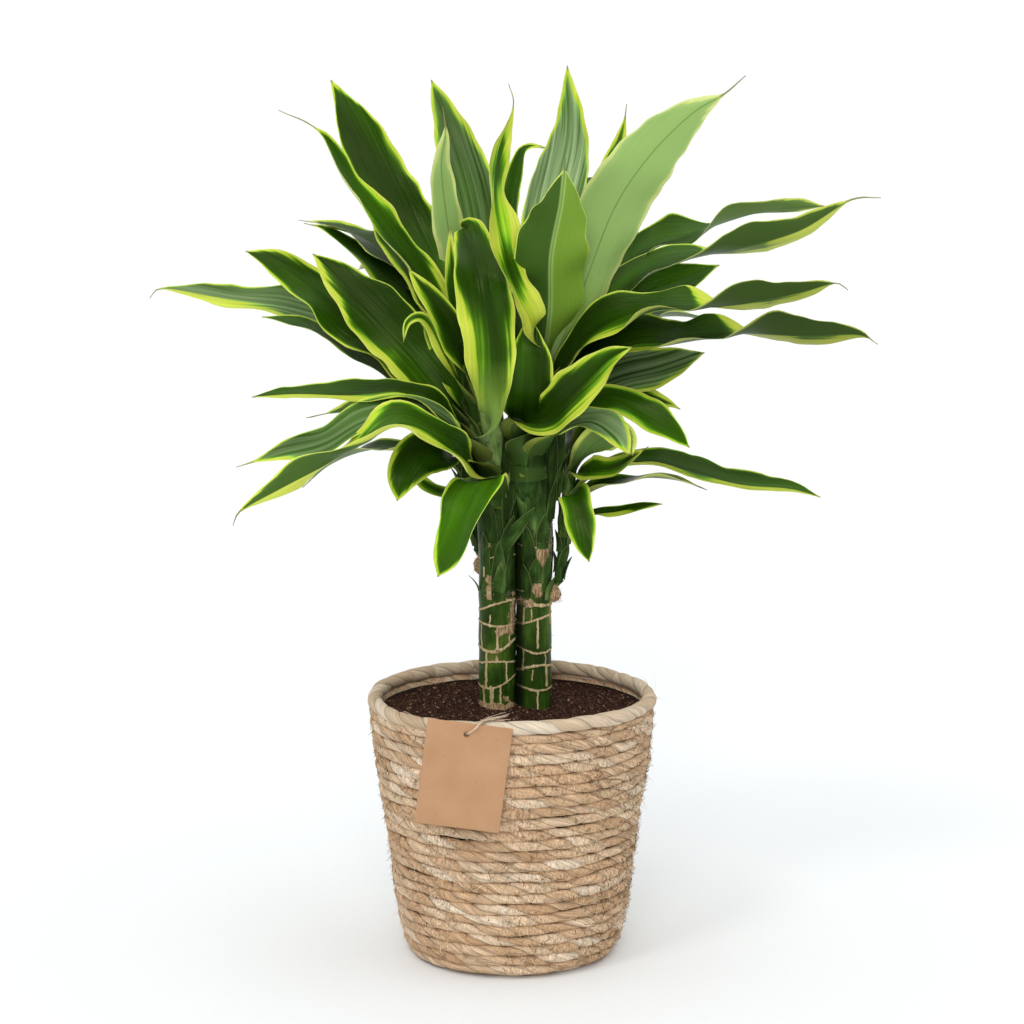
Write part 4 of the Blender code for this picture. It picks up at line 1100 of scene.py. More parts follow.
def curve_through(points, steps_for, closed=False):
    """Places on a smooth curve through the points, with as many steps as are given for a leg's length."""
    ends = [2 * points[0] - points[1], *points, 2 * points[-1] - points[-2]]
    if closed:
        ends = [points[-1], *points, *points[:2]]
    places = []
    for before, here, there, after in zip(ends, ends[1:], ends[2:], ends[3:]):
        leads = here + (there - before) / 6, there - (after - here) / 6
        places.extend(interpolate_bezier(here, *leads, there, steps_for((there - here).length))[:-1])
    return places if closed else [*places, points[-1]]


def smooth_line(points, count):
    """Places at equal steps along a smooth curve, the way that it runs there, and how far along."""
    fine = np.array(curve_through(points, lambda _length: 16))
    gone = np.concatenate(([0.0], np.cumsum(np.linalg.norm(np.diff(fine, axis=0), axis=1))))
    along = np.linspace(0.0, gone[-1], count)
    places = np.stack([np.interp(along, gone, fine[:, axis]) for axis in range(3)], axis=1)
    runs = np.gradient(places, axis=0)
    runs /= np.linalg.norm(runs, axis=1)[:, None]
    return [Vector(place) for place in places], [Vector(run) for run in runs], along


def blade_line(stem_name, height, leaf, draw, look=None):
    """One blade as a list of places on its line, each with what the blade tree reads there.

    A look gives each side's margin near the root and near the tip in millimetres, how pale
    the underside is, partly painted backlight, how high the margins wave, how bright the
    blade is, partly painted light, and, where it has them, its painted sheen, how much light
    one half lets through, its tip's sharpness and its neck."""
    width, lean, faces, fold, wave, tail, points = leaf
    bloom, split, sharp, neck = look[7:] if look and len(look) > 7 else PLAIN_SKIN
    core = stem_point(stem_name, height)
    reach = stem_read(stem_name, height, 3) * MM
    outward = ((points[0] - core) * Vector((1.0, 1.0, 0.0))).normalized()
    start = stem_point(stem_name, height - SHEATH_BELOW) + outward * reach
    places, runs, along = smooth_line([start, core + outward * reach * 1.02, *points], BLADE_STEPS)
    along = along - SHEATH_BELOW * MM
    shares = np.clip(along / (along[-1] - tail * MM), 0.0, 1.0)
    opened = np.clip(along / (min(CLASP_REACH * MM, along[-1] * 0.4)), 0.0, 1.0)
    clasp = 1 - opened * opened * (3 - 2 * opened)
    side = 1.0 if points[-1].x > core.x else -1.0
    flat = ((points[-1] - core) * Vector((1.0, 1.0, 0.0))).normalized()
    level = flat.cross(Vector((0.0, 0.0, 1.0)))
    inwards, turns = [], []
    for here, run, share in zip(places, runs, shares):
        roll = float(np.interp(share, np.linspace(0.0, 1.0, len(faces)), faces))
        if lean == "seen":
            to_viewer = (EYE - here).normalized()
            normal = (to_viewer - run * run.dot(to_viewer)).normalized()
            roll = -roll
        else:
            normal = level.cross(run).normalized()
        normal = Matrix.Rotation(math.radians(side * roll), 3, run) @ normal
        inward = (run * run.dot(outward) - outward).normalized()
        inwards.append(inward)
        turns.append(math.atan2(inward.cross(normal).dot(run), inward.dot(normal)))
    turns = np.unwrap(turns)
    turns -= math.tau * round(turns[BLADE_STEPS // 8] / math.tau)
    broad = np.where(
        shares < 0.5, BLADE_BASE_SHARE + (1 - BLADE_BASE_SHARE) * np.sin(shares * math.pi),
        1 - np.abs(shares * 2 - 1) ** sharp,
    ) * width / 2
    # Each blade swells and narrows a little on its own
    broad = broad * [1 + UNEVEN * noise.noise(Vector((gone * 55.0, height * 0.37, 0.0))) for gone in along]
    broad = broad * np.interp(along, (0.03, 0.09), (1 - neck, 1.0))
    thread = np.interp(along, (along[-1] - 0.012, along[-1]), (THREAD_WIDTH / 2, 0.25))
    broad = np.maximum(broad, thread)
    angles = np.radians(fold + (BASE_ANGLE - fold) * np.clip(1 - shares / 0.25, 0.0, 1.0) ** 2)
    wrap = np.minimum(width * 0.62, reach / MM * CLASP_SPREAD)
    half = (broad + (np.maximum(wrap, broad) - broad) * clasp) * MM
    curl = 2 * np.sin(angles) / half
    curl = np.maximum(curl + (1 / (reach * 1.04) - curl) * clasp, 3.0)
    # Margins in millimetres: a narrow and a somewhat wider one, unless they are told
    narrow, wide = draw.uniform(1.1, 2.0), draw.uniform(1.8, 4.2)
    lower = side if lean == "seen" else draw.choice((-1.0, 1.0))
    tone, pale = draw.random(), draw.uniform(0.1, 0.4)
    margins = (wide, wide, narrow, narrow) if lower < 0 else (narrow, narrow, wide, wide)
    if look:
        margins, (pale, wave, tone) = look[:4], look[4:7]
    waves = np.sin(shares * math.pi) * wave * 1.4 * MM
    rows = []
    for at, (here, run) in enumerate(zip(places, runs)):
        facing = Matrix.Rotation(turns[at] * (1 - clasp[at]), 3, run) @ inwards[at]
        rows.append({
            "place": here, "facing": facing, "across": run.cross(facing), "half": half[at], "curl": curl[at],
            "wave": waves[at], "along": along[at], "tone": tone, "base": clasp[at],
            "band_low": float(np.interp(shares[at], LOW_MARGIN_CHANGE, margins[:2])) * MM,
            "band_high": float(np.interp(shares[at], HIGH_MARGIN_CHANGE, margins[2:])) * MM,
            "pale": pale, "bloom": bloom, "split": split,
        })
    return rows


# Waxy leaf skin: a dark green centre with lengthwise streaks, a few lime stripes beside a
# yellow-green margin with a thin pale line, a duller underside, and a brown dry tip
leaf_skin, tree, shader = new_finish("waxy_leaf_skin")
edge, side, half, along, tone, base, band_low, band_high, paleness, bloom, split = (
    add(tree, "Attribute", attribute_name=name, out="Fac") for name in (
        "edge", "side", "half", "along", "tone", "base", "band_low", "band_high", "pale", "bloom", "split"
    )
)
off = add(tree, "Math MULTIPLY", edge, half)
leaf_at = add(tree, "CombineXYZ", off, along, tone)
veins = stretched(tree, leaf_at, (1000.0, 6.0, 40.0), 2.0)
streaks = stretched(tree, leaf_at, (330.0, 6.0, 60.0), 2.0)
sweeps = stretched(tree, leaf_at, (60.0, 9.0, 90.0), 1.0)
is_high = add(tree, "Math GREATER_THAN", edge, 0.0)
band = add(tree, "Mix", is_high, band_low, band_high)
# How far a place lies inside the margin: 1 at the blade's edge, 0 at the margin's inner
# side, and negative on towards the rib
width = add(tree, "Math ABSOLUTE", off)
inset = add(tree, "Math SUBTRACT", half, width)
# The margin widens and narrows every few centimetres
change = add(tree, "Math MULTIPLY_ADD", along, 15.0, tone)
change = add(tree, "TexNoise", W=change, Scale=1.0, Detail=0.0, noise_dimensions="1D")
change = add(tree, "MapRange", change, 0.3, 0.7, 0.4, 1.5)
band = add(tree, "Math MULTIPLY", band, change)
within = add(tree, "Math DIVIDE", inset, band)
within = add(tree, "Math SUBTRACT", 1.0, within)
shift = add(tree, "Math SUBTRACT", streaks, 0.5)
within = add(tree, "Math MULTIPLY_ADD", shift, 2.6, within)
zone = add(tree, "MapRange", within, -2.0, 1.0)
UPPER_TONES = (
    (0.0, "#213E04"), (0.3, "#2B4C06"), (0.46, "#3F680D"), (0.56, "#5C8A18"), (0.63, "#8FB02A"),
    (0.7, "#B6CA38"), (0.9, "#CBD650"),
)
UNDER_TONES = ((0.0, "#2E4C12"), (0.5, "#375719"), (0.62, "#5F8028"), (0.68, "#B4C43E"), (0.9, "#CFDA52"))
PALE_TONES = ((0.0, "#9ABB6C"), (0.5, "#A2C273"), (0.62, "#ADC877"), (0.68, "#C5D380"), (0.9, "#D6E092"))
upper = add(tree, "ValToRGB", zone, stops=UPPER_TONES)
under = add(tree, "ValToRGB", zone, stops=UNDER_TONES)
pale = add(tree, "ValToRGB", zone, stops=PALE_TONES)
# Undersides in the shade of their crown are darker
dim = add(tree, "Math MULTIPLY_ADD", tone, 0.7, 0.42)
under = add(tree, "VectorMath SCALE", under, dim)
# Pale undersides: partly their own paler tone, partly painted backlight and sheen
under = add(tree, "Mix", paleness, under, pale, data_type="RGBA")
# Light comes through one half of some blades, and through their broad rib
for value, low, high, through in ((off, -0.001, 0.001, "#84A83A"), (width, 0.0010, 0.0022, "#A3C06C")):
    lit = add(tree, "MapRange", value, low, high, 1.0, 0.0)
    lit = add(tree, "Math MULTIPLY", lit, split)
    under = add(tree, "Mix", lit, under, linear(through), data_type="RGBA")
# Painted light: broad sweeps of brighter green along the blade; each blade is a little lighter or
# darker by its tone, its own on most blades and painted light on some
blade_tone_and_painted_light = add(tree, "Math MULTIPLY_ADD", tone, 0.5, 0.75)
bright = add(tree, "MapRange", sweeps, 0.35, 0.7, 0.75, 1.9)
bright = add(tree, "Math MULTIPLY", bright, blade_tone_and_painted_light)
fleck = add(tree, "MapRange", veins, 0.3, 0.7, 0.88, 1.12)
green = add(tree, "MapRange", zone, 0.55, 0.7, 1.0, 0.0)
bright = add(tree, "Mix", green, 1.0, bright)
bright = add(tree, "Math MULTIPLY", bright, fleck)
upper = add(tree, "VectorMath SCALE", upper, bright)
# Painted sheen: whitish streaks painted along the green of some blades, standing in for reflected light
painted_sheen_mask = add(tree, "MapRange", streaks, 0.38, 0.66, 0.12, 1.0)
painted_sheen_mask = add(tree, "Math MULTIPLY", painted_sheen_mask, green)
painted_sheen_mask = add(tree, "Math MULTIPLY", painted_sheen_mask, bloom)
upper = add(tree, "Mix", painted_sheen_mask, upper, linear("#B2CE96"), data_type="RGBA")
faint = add(tree, "Math MULTIPLY_ADD", fleck, 0.3, 0.7)
under = add(tree, "VectorMath SCALE", under, faint)
is_under = add(tree, "Math LESS_THAN", side, -0.02)
colour = add(tree, "Mix", is_under, upper, under, data_type="RGBA")
# The clasping base is dull: pale and bare of chlorophyll on the pale blades, else dark
base = add(tree, "Math MULTIPLY", base, 0.85)
bare = add(tree, "MapRange", paleness, 0.45, 0.8)
young = add(tree, "MapRange", along, 0.045, 0.085, 0.9, 0.0)
young = add(tree, "Math MULTIPLY", young, bare)
colour = add(tree, "Mix", young, colour, linear("#86A545"), data_type="RGBA")
bare = add(tree, "Mix", bare, linear("#243C12"), linear("#8FA970"), data_type="RGBA")
colour = add(tree, "Mix", base, colour, bare, data_type="RGBA")
# A line 0.4 mm wide along each margin
rim_line = add(tree, "MapRange", inset, 0.00025, 0.0006, 0.38, 0.0)
opened = add(tree, "Math SUBTRACT", 1.0, base)
rim_line = add(tree, "Math MULTIPLY", rim_line, opened)
colour = add(tree, "Mix", rim_line, colour, linear("#DCE49C"), data_type="RGBA")
# The rib: a thin darker line underneath
rib = add(tree, "MapRange", width, 0.0002, 0.0008, 0.5, 0.0)
rib = add(tree, "Math MULTIPLY", rib, is_under)
colour = add(tree, "Mix", rib, colour, linear("#3E6428"), data_type="RGBA")
dry = add(tree, "MapRange", half, 0.0006, 0.0016, 0.8, 0.0)
dry_colour = add(tree, "ValToRGB", veins, stops=((0.3, "#4E4A22"), (0.7, "#8C8150")))
colour = add(tree, "Mix", dry, colour, dry_colour, data_type="RGBA")
gloss = add(tree, "MapRange", streaks, 0.3, 0.7, 0.24, 0.38)
dull = add(tree, "Math MULTIPLY_ADD", is_under, 0.14, gloss)
height = add(tree, "Math MULTIPLY_ADD", streaks, 1.6, veins)
height = add(tree, "Math MULTIPLY_ADD", sweeps, 5.0, height)
deep = add(tree, "Math MULTIPLY_ADD", is_under, -0.45, 0.6)
relief = add(tree, "Bump", Height=height, Strength=deep, Distance=0.0007)
fill(
    shader, Base_Color=colour, Roughness=dull, Normal=relief, Specular_IOR_Level=0.2,
    Specular_Tint=GREEN_GLINT,
)


def leafy_stem(name, leaves, seed, looks):
    """Puts a stem's blades in the scene as one piece that stands for its node, some with their own look."""
    draw = random.Random(seed)
    lines = []
    for number, (height, sort) in enumerate(leaves):
        leaf = grown(stem_point(name, height), *sort) if len(sort) == 5 else sort
        lines.append(blade_line(name, height, leaf, draw, looks.get(number)))
    made = show(name + "_leaves", line_mesh(name, lines))
    grow(made, leaf_tree, finish=leaf_skin)
    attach(made, "root")
    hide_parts(name)


# Left crown: twenty-two blades in a loose rosette, read one by one at the front and grown
# by a falling slope at the back. Each entry starts with the height of its root.
CROWN_LEFT = (
    (425, seen(44, (20, 5, 0), ((-46, 470, -6), (-80, 542, -26), (-108, 600, -44), (-128, 637, -54)))),
    (432, seen(32, (40, 55, 60), ((-46, 465, 2), (-81, 518, 8), (-113, 560, 12), (-136, 600, 15),
        (-165, 616, 18)), 25, tail=26)),
    (400, seen(30, (50, 45, 60), ((-53, 455, -27), (-81, 488, -40), (-105, 511, -50), (-130, 530, -57),
        (-148, 536, -60)), tail=6)),
    (385, seen(40, (40, 30, 20), ((-52, 412, -10), (-90, 448, -22), (-119, 468, -28), (-143, 490, -32),
        (-169, 508, -34), (-190, 516, -36)), 8, 4)),
    (365, seen(46, (35, 10, 10), ((-42, 402, 2), (-67, 437, -3), (-95, 468, -8), (-121, 494, -14),
        (-142, 514, -18)))),
    (372, seen(42, (54, 52, 50), ((-56, 420, -36), (-102, 456, -56), (-156, 475, -66), (-206, 482, -70),
        (-249, 489, -72), (-259, 482, -72)), 15, tail=10)),
    (366, seen(34, (50, 62, 66), ((-58, 404, -14), (-106, 440, -32), (-146, 462, -42), (-179, 469, -46)))),
    (362, seen(36, (60, 66, 64), ((-50, 399, 22), (-80, 414, 30), (-115, 412, 34), (-155, 413, 38),
        (-187, 411, 40)))),
    (352, seen(34, (50, 48, 38), ((-44, 381, 30), (-72, 400, 42), (-105, 394, 50), (-135, 378, 56),
        (-165, 370, 60), (-199, 360, 62)), tail=10)),
    (344, seen(38, (58, 56, 55, 70, 132, 152), ((-42, 372, 44), (-78, 391, 62), (-108, 377, 72),
        (-138, 360, 76), (-170, 343, 82), (-196, 328, 84), (-202, 317, 84)), 20, 2, 10)),
    (336, arching(38, 0, ((-18, 350, 22), (-26, 345, 36), (-35, 326, 46), (-45, 300, 48), (-54, 279, 44)))),
    (372, seen(40, (0, 0, 5), ((-15, 405, 24), (-16, 450, 34), (-22, 492, 32), (-28, 520, 20),
        (-32, 532, 4), (-34, 531, -12)), 14, 4)),
    (400, seen(12, (20, 10, 0), ((-38, 460, 12), (-43, 500, 16), (-44, 534, 18)))),
    (410, seen(22, (30, 20, 10), ((-40, 450, 14), (-54, 476, 22), (-66, 492, 26), (-74, 503, 28)), 12, 2)),
    (380, seen(32, (10, 0, 0), ((-37, 420, -4), (-45, 452, -7), (-52, 482, -10), (-58, 508, -14)))),
    (404, seen(12, (50, 40, 20), ((-48, 440, 16), (-62, 466, 18), (-74, 465, 20), (-78, 450, 20)))),
    (440, seen(40, (15, 10, 0), ((-22, 484, -30), (-27, 545, -50), (-42, 598, -64), (-57, 637, -70)))),
    (436, seen(22, (170, 170, 175), ((-37, 480, -16), (-45, 530, -8), (-50, 574, 4), (-47, 600, 10),
        (-49, 618, 12)), tail=12)),
)
BACK_LEFT = (
    (436, (97, 58, 5, 220, 40)),
    (424, (140, 56, 5, 215, 42)),
    (412, (120, 50, -10, 225, 42)),
    (398, (92, 40, -25, 205, 40)),
)
# The looks of blades that are read from the front, by their place in the table
LEFT_LOOKS = {
    0: (1.6, 1.6, 2.6, 2.6, 0.3, 1.5, 0.3),
    1: (6.5, 6.5, 2.2, 2.2, 0.4, 2.0, 0.8),
    3: (1.4, 1.4, 2.4, 2.4, 0.3, 4.0, 0.2),
    4: (4.6, 4.6, 1.0, 1.0, 0.3, 3.0, 0.3),
    5: (7.0, 8.0, 0.8, 0.8, 0.3, 2.0, 0.9, 0.35, 0.0, 2.5, 0.0),
    7: (20.0, 22.0, 0.8, 0.8, 0.3, 1.5, 0.6),
    8: (3.0, 3.0, 1.0, 1.0, 0.3, 2.2, 1.0, 0.25, 0.0, 2.5, 0.0),
    9: (20.0, 1.0, 1.2, 24.0, 0.1, 2.4, 1.0),
    10: (1.2, 1.2, 1.8, 1.8, 0.1, 2.4, 2.2),
    11: (6.0, 2.0, 2.6, 1.6, 0.9, 4.5, 0.1, 0.0, 0.0, 2.5, 0.5),
    16: (1.6, 1.6, 2.2, 2.2, 0.3, 2.0, 1.7, 0.2, 0.0, 2.5, 0.0),
    17: (2.5, 2.5, 2.5, 2.5, 0.9, 1.5, 0.5),
}
leafy_stem("crown_left", CROWN_LEFT + BACK_LEFT, 41, LEFT_LOOKS)


# Right crown: twenty-three blades round the thicker stem, most of them out to the right,
# where one broad blade shows its pale underside, whose paleness is partly painted backlight and sheen.
CROWN_RIGHT = (
    (436, seen(30, (40, 50, 55), ((14, 464, 36), (2, 490, 44), (-12, 545, 40), (-10, 585, 34), (1, 618, 28),
        (-2, 634, 26)), 20, tail=14)),
    (435, seen(22, (50, 50, 40), ((6, 492, -44), (0, 545, -62), (5, 581, -68), (12, 590, -70),
        (25, 589, -72)))),
    (430, seen(44, (10, 5, 0), ((18, 490, -24), (30, 548, -42), (41, 600, -56), (39, 647, -64)))),
    (425, seen(50, (175, 178, 180), ((27, 470, 18), (28, 512, 42), (35, 550, 62), (38, 582, 72)), tail=8)),
    (430, seen(48, (150, 165, 170), ((50, 488, 16), (72, 545, 30), (97, 583, 42), (127, 613, 52),
        (150, 627, 58), (165, 640, 60)), 10, tail=20)),
    (432, seen(24, (20, 10, 10), ((45, 500, -24), (66, 560, -38), (78, 600, -46), (81, 620, -48)), tail=8)),
    (415, seen(42, (60, 56, 54, 64, 112, 150), ((57, 472, -10), (88, 512, -20), (125, 527, -24),
        (165, 541, -26), (195, 547, -26), (222, 548, -26)), 18, 3.5)),
    (410, seen(42, (58, 60, 66, 132, 140), ((55, 462, 4), (88, 497, 6), (125, 510, 10), (165, 519, 14),
        (205, 531, 18), (240, 552, 20), (262, 554, 20)), 15, tail=22)),
    (405, seen(40, (20, 25, 30), ((50, 450, -24), (85, 480, -40), (118, 494, -50), (148, 506, -54)))),
    (402, seen(42, (52, 54, 55, 74, 138, 150), ((48, 448, 22), (88, 472, 36), (130, 475, 44),
        (170, 479, 48), (205, 486, 50), (230, 493, 50), (240, 488, 50)), 20, 3, 10)),
    (392, seen(44, (48, 52, 55, 74, 140, 152), ((48, 430, 2), (88, 452, 8), (125, 452, 12), (165, 457, 14),
        (210, 455, 14), (248, 456, 12), (262, 449, 12)), 20, 3, 6)),
    (391, seen(40, (30, 30, 35), ((45, 410, -12), (75, 424, -24), (105, 432, -30), (138, 443, -34)))),
    (378, seen(36, (10, 20, 30), ((8, 390, 18), (28, 398, 34), (50, 418, 46), (70, 438, 52), (86, 447, 54)),
        22, 2)),
    (370, arching(34, 25, ((36, 388, 18), (57, 394, 30), (74, 384, 38), (85, 369, 42)))),
    (390, seen(28, (30, 30, 20), ((45, 404, 4), (72, 409, 8), (95, 399, 12), (114, 387, 14),
        (128, 374, 14)))),
    (380, seen(22, (60, 40, 40), ((60, 408, -14), (90, 410, -22), (110, 407, -26), (121, 402, -26)))),
    (395, seen(30, (5, 5, 5), ((9, 425, 8), (8, 455, 2), (10, 485, -12), (14, 515, -24)))),
    (365, seen(38, (5, 5, 5), ((10, 392, 12), (12, 414, 24), (13, 440, 30), (12, 468, 24)))),
)
BACK_RIGHT = (
    (438, (74, 60, 10, 220, 40)),
    (424, (48, 52, -5, 205, 40)),
    (414, (80, 50, -12, 225, 42)),
    (400, (34, 46, -15, 200, 40)),
    (386, (60, 36, -35, 200, 40)),
)
RIGHT_LOOKS = {
    0: (15.0, 15.0, 9.0, 7.0, 0.4, 3.0, 0.8),
    2: (1.6, 1.6, 2.2, 2.2, 0.3, 2.0, 1.4, 0.85, 0.0, 1.7, 0.0),
    3: (1.0, 1.0, 1.0, 1.0, 0.05, 2.6, 1.2, 0.0, 0.75, 2.5, 0.0),
    4: (2.4, 2.4, 2.4, 2.4, 0.95, 1.5, 0.5),
    6: (0.8, 1.4, 2.0, 1.2, 0.3, 3.5, 0.7),
    7: (0.8, 34.0, 2.5, 1.2, 0.1, 1.5, 0.6),
    8: (1.2, 1.2, 1.8, 1.8, 0.3, 2.0, 1.1),
    9: (0.6, 29.0, 5.5, 0.8, 0.05, 3.0, 0.2),
    10: (0.6, 29.0, 6.0, 0.8, 0.05, 3.0, 0.1),
    11: (1.4, 1.4, 2.4, 2.4, 0.3, 1.5, 0.2, 0.45, 0.0, 2.5, 0.0),
    12: (2.0, 2.0, 5.0, 5.0, 0.3, 2.0, 0.2),
    13: (1.6, 1.6, 3.0, 3.0, 0.3, 2.0, 1.4, 0.45, 0.0, 2.5, 0.0),
    14: (1.5, 1.5, 3.0, 3.0, 0.3, 2.0, 1.8),
    17: (1.4, 1.4, 1.4, 1.4, 0.3, 1.5, 0.6),
}
leafy_stem("crown_right", CROWN_RIGHT + BACK_RIGHT, 57, RIGHT_LOOKS)


# Side shoot: a thin young stem that leaves the right cane at its knob. Its eight small
# blades arch out to the right and to the back.
SIDE_SHOOT = (
    (352, seen(24, (55, 55, 50), ((56, 357, 12), (76, 360, 18), (98, 375, 22)), tail=4)),
    (340, seen(34, (60, 62, 60), ((62, 355, -8), (98, 364, -14), (130, 356, -18), (165, 347, -20),
        (200, 344, -20), (223, 338, -20)), 18, 2)),
    (318, seen(11, (50, 50, 30), ((57, 325, -8), (75, 327, -12), (93, 331, -14), (109, 333, -14)))),
    (322, arching(24, 20, ((44, 340, 12), (48, 326, 22), (52, 306, 26), (56, 290, 26)))),
    (356, seen(24, (160, 160, 160), ((58, 376, 14), (74, 384, 22), (84, 379, 27), (87, 368, 28)))),
    (360, (54, 42, -32, 150, 32)),
    (345, (80, 40, -30, 140, 30)),
    (330, (10, 30, -20, 110, 24)),
)
SIDE_LOOKS = {
    1: (0.8, 0.8, 21.0, 21.0, 0.1, 0.5, 0.8),
    2: (0.4, 0.2, 6.5, 1.0, 0.1, 1.0, 0.6),
    3: (1.2, 1.2, 1.4, 1.4, 0.3, 1.5, 0.9),
}
leafy_stem("side_shoot", SIDE_SHOOT, 5, SIDE_LOOKS)


# Back shoot: a thin young stem behind the left cane. Three of its six small blades show
# at the left, and three grow to the back.
BACK_SHOOT = (
    (358, seen(36, (20, 15, 20), ((-51, 372, -6), (-67, 367, 2), (-78, 352, 8), (-83, 335, 10)))),
    (368, seen(26, (100, 110, 115), ((-52, 390, -26), (-80, 404, -34), (-112, 403, -38), (-148, 396, -40)),
        tail=14)),
    (335, seen(12, (40, 30, 20), ((-50, 341, -6), (-64, 348, 2), (-72, 358, 6)))),
    (376, (112, 50, -5, 165, 34)),
    (366, (96, 44, -20, 160, 34)),
    (352, (160, 22, -40, 140, 32)),
)
BACK_LOOKS = {0: (1.5, 1.5, 1.5, 1.5, 0.2, 1.5, 0.5)}
leafy_stem("back_shoot", BACK_SHOOT, 8, BACK_LOOKS)


# Stems and old sheaths: each stem is a green core wrapped by the bases of shed leaves,
# short pointed scales with a thin pale edge. Some still cling to the tops of the canes.
SHEATH_STEPS = 28
SHEATH_TIP = 0.25
GOLDEN_TURN = 137.5


def sheath_line(foot, run, reach, around, half, length, stand_off, tone):
    """A scale that hugs a round stem at its foot and leans off towards its tip."""
    outward = bearing(math.radians(around))
    rows = []
    for step in range(SHEATH_STEPS):
        share = step / (SHEATH_STEPS - 1)
        lean = stand_off * share ** 2.2
        here = foot + run * length * share + outward * (reach + 0.5 + lean)
        along = (run * length + outward * stand_off * 2.2 * share ** 1.2).normalized()
        inward = -(outward - along * outward.dot(along)).normalized()
        broad = half * (1 - share ** 2.6) ** 0.8 * (0.86 + 0.14 * math.sin(share * math.pi))
        rows.append({
            "place": here * MM, "facing": inward, "across": along.cross(inward), "base": 1 - share,
            "half": max(broad, SHEATH_TIP) * MM, "curl": (1 / (reach + lean * 2 + 0.6)) / MM, "wave": 0.0,
            "along": length * share * MM, "tone": tone,
        })
    return rows


# Old sheath skin: dull dark green with a grey bloom, faint ribs and a cream edge line
sheath_skin, tree, shader = new_finish("old_sheath_skin")
edge, half, along, tone = (
    add(tree, "Attribute", attribute_name=name, out="Fac") for name in ("edge", "half", "along", "tone")
)
off = add(tree, "Math MULTIPLY", edge, half)
sheath_at = add(tree, "CombineXYZ", off, along, tone)
ribs = stretched(tree, sheath_at, (1100.0, 20.0, 40.0), 2.0)
bloom = stretched(tree, sheath_at, (160.0, 60.0, 90.0), 2.0)
mixed = add(tree, "Math MULTIPLY_ADD", ribs, 0.4, bloom)
mixed = add(tree, "Math MULTIPLY_ADD", tone, 0.35, mixed)
mixed = add(tree, "Math MULTIPLY", mixed, 0.7)
SHEATH_TONES = ((0.4, "#132409"), (0.52, "#1E3610"), (0.64, "#2E4A1A"), (0.74, "#425F2A"), (0.95, "#8BA45E"))
colour = add(tree, "ValToRGB", mixed, stops=SHEATH_TONES)
width = add(tree, "Math ABSOLUTE", off)
inset = add(tree, "Math SUBTRACT", half, width)
rim_line = add(tree, "MapRange", inset, 0.0001, 0.0004, 0.6, 0.0)
colour = add(tree, "Mix", rim_line, colour, linear("#8F9160"), data_type="RGBA")
relief = add(tree, "Bump", Height=ribs, Strength=0.5, Distance=0.0005)
fill(
    shader, Base_Color=colour, Normal=relief, Roughness=0.5, Specular_IOR_Level=0.2,
    Specular_Tint=GREEN_GLINT,
)

# Sheaths that are read from the front: aside and foot height, half width, length, stand-off,
# tilt aside and tone
FRONT_SHEATHS = {
    "cane_left": (
        (1.5, 262, 6.2, 45, 1.5, 0.0, 0.5), (2.4, 268, 4.6, 24, 2.0, 0.0, 0.8),
        (9.5, 264, 5.0, 40, 1.0, 0.0, 0.2), (-8.5, 287, 5.0, 26, 1.2, 0.0, 0.4),
        (5.5, 292, 6.5, 34, 3.0, 0.16, 0.3), (-12.6, 268, 2.6, 12, 5.0, -0.2, 0.9),
        (2.0, 298, 5.5, 42, 5.0, 0.72, 0.6), (10.5, 300, 6.5, 46, 2.0, 0.1, 0.0),
        (8.5, 338, 3.6, 32, 2.5, 0.1, 1.7), (11.5, 318, 6.0, 52, 1.0, 0.05, 0.1),
    ),
    "cane_right": (
        (-7.2, 264, 6.0, 25, 1.6, 0.0, 0.3), (8.3, 268, 5.6, 29, 1.6, 0.0, 0.7),
        (9.5, 262, 5.0, 18, 3.0, 0.1, 0.9), (0.5, 275, 5.5, 19, 1.4, 0.0, 0.5),
        (-5.0, 283, 6.5, 34, 2.0, 0.0, 0.2), (5.5, 300, 6.0, 26, 1.5, 0.0, 0.6),
        (-7.5, 308, 9.0, 42, 6.0, -0.1, 0.7), (-10.5, 300, 6.0, 50, 2.0, -0.1, 0.0),
        (10.0, 318, 6.0, 52, 4.0, 0.16, 0.3), (11.0, 330, 5.0, 48, 5.0, 0.24, 0.6),
        (4.0, 316, 7.0, 50, 3.0, 0.0, 0.1),
    ),
}
scale_draw = random.Random(77)
sheath_lines = []
for name, rows in FRONT_SHEATHS.items():
    cane = CANES[name]
    middle = Vector((*cane["middle"], 0.0))
    for aside, low, half, length, stand_off, tilt, tone in rows:
        turn = math.degrees(math.asin(max(-1.0, min(1.0, aside / cane["radius"])))) - 90.0
        run = Vector((tilt, 0.0, 1.0)).normalized()
        foot = middle + Vector((0.0, 0.0, float(low)))
        sheath_lines.append(sheath_line(foot, run, cane["radius"], turn, half, length, stand_off, tone))
    # The far side carries four more, each 9 mm above the last
    for number in range(4):
        foot = middle + Vector((0.0, 0.0, cane["top"] - 44 + 9.0 * number))
        sheath_lines.append(sheath_line(
            foot, Vector((0.0, 0.0, 1.0)), cane["radius"], 25 + number * GOLDEN_TURN % 130, 6.5, 30.0, 2.0,
            scale_draw.random(),
        ))
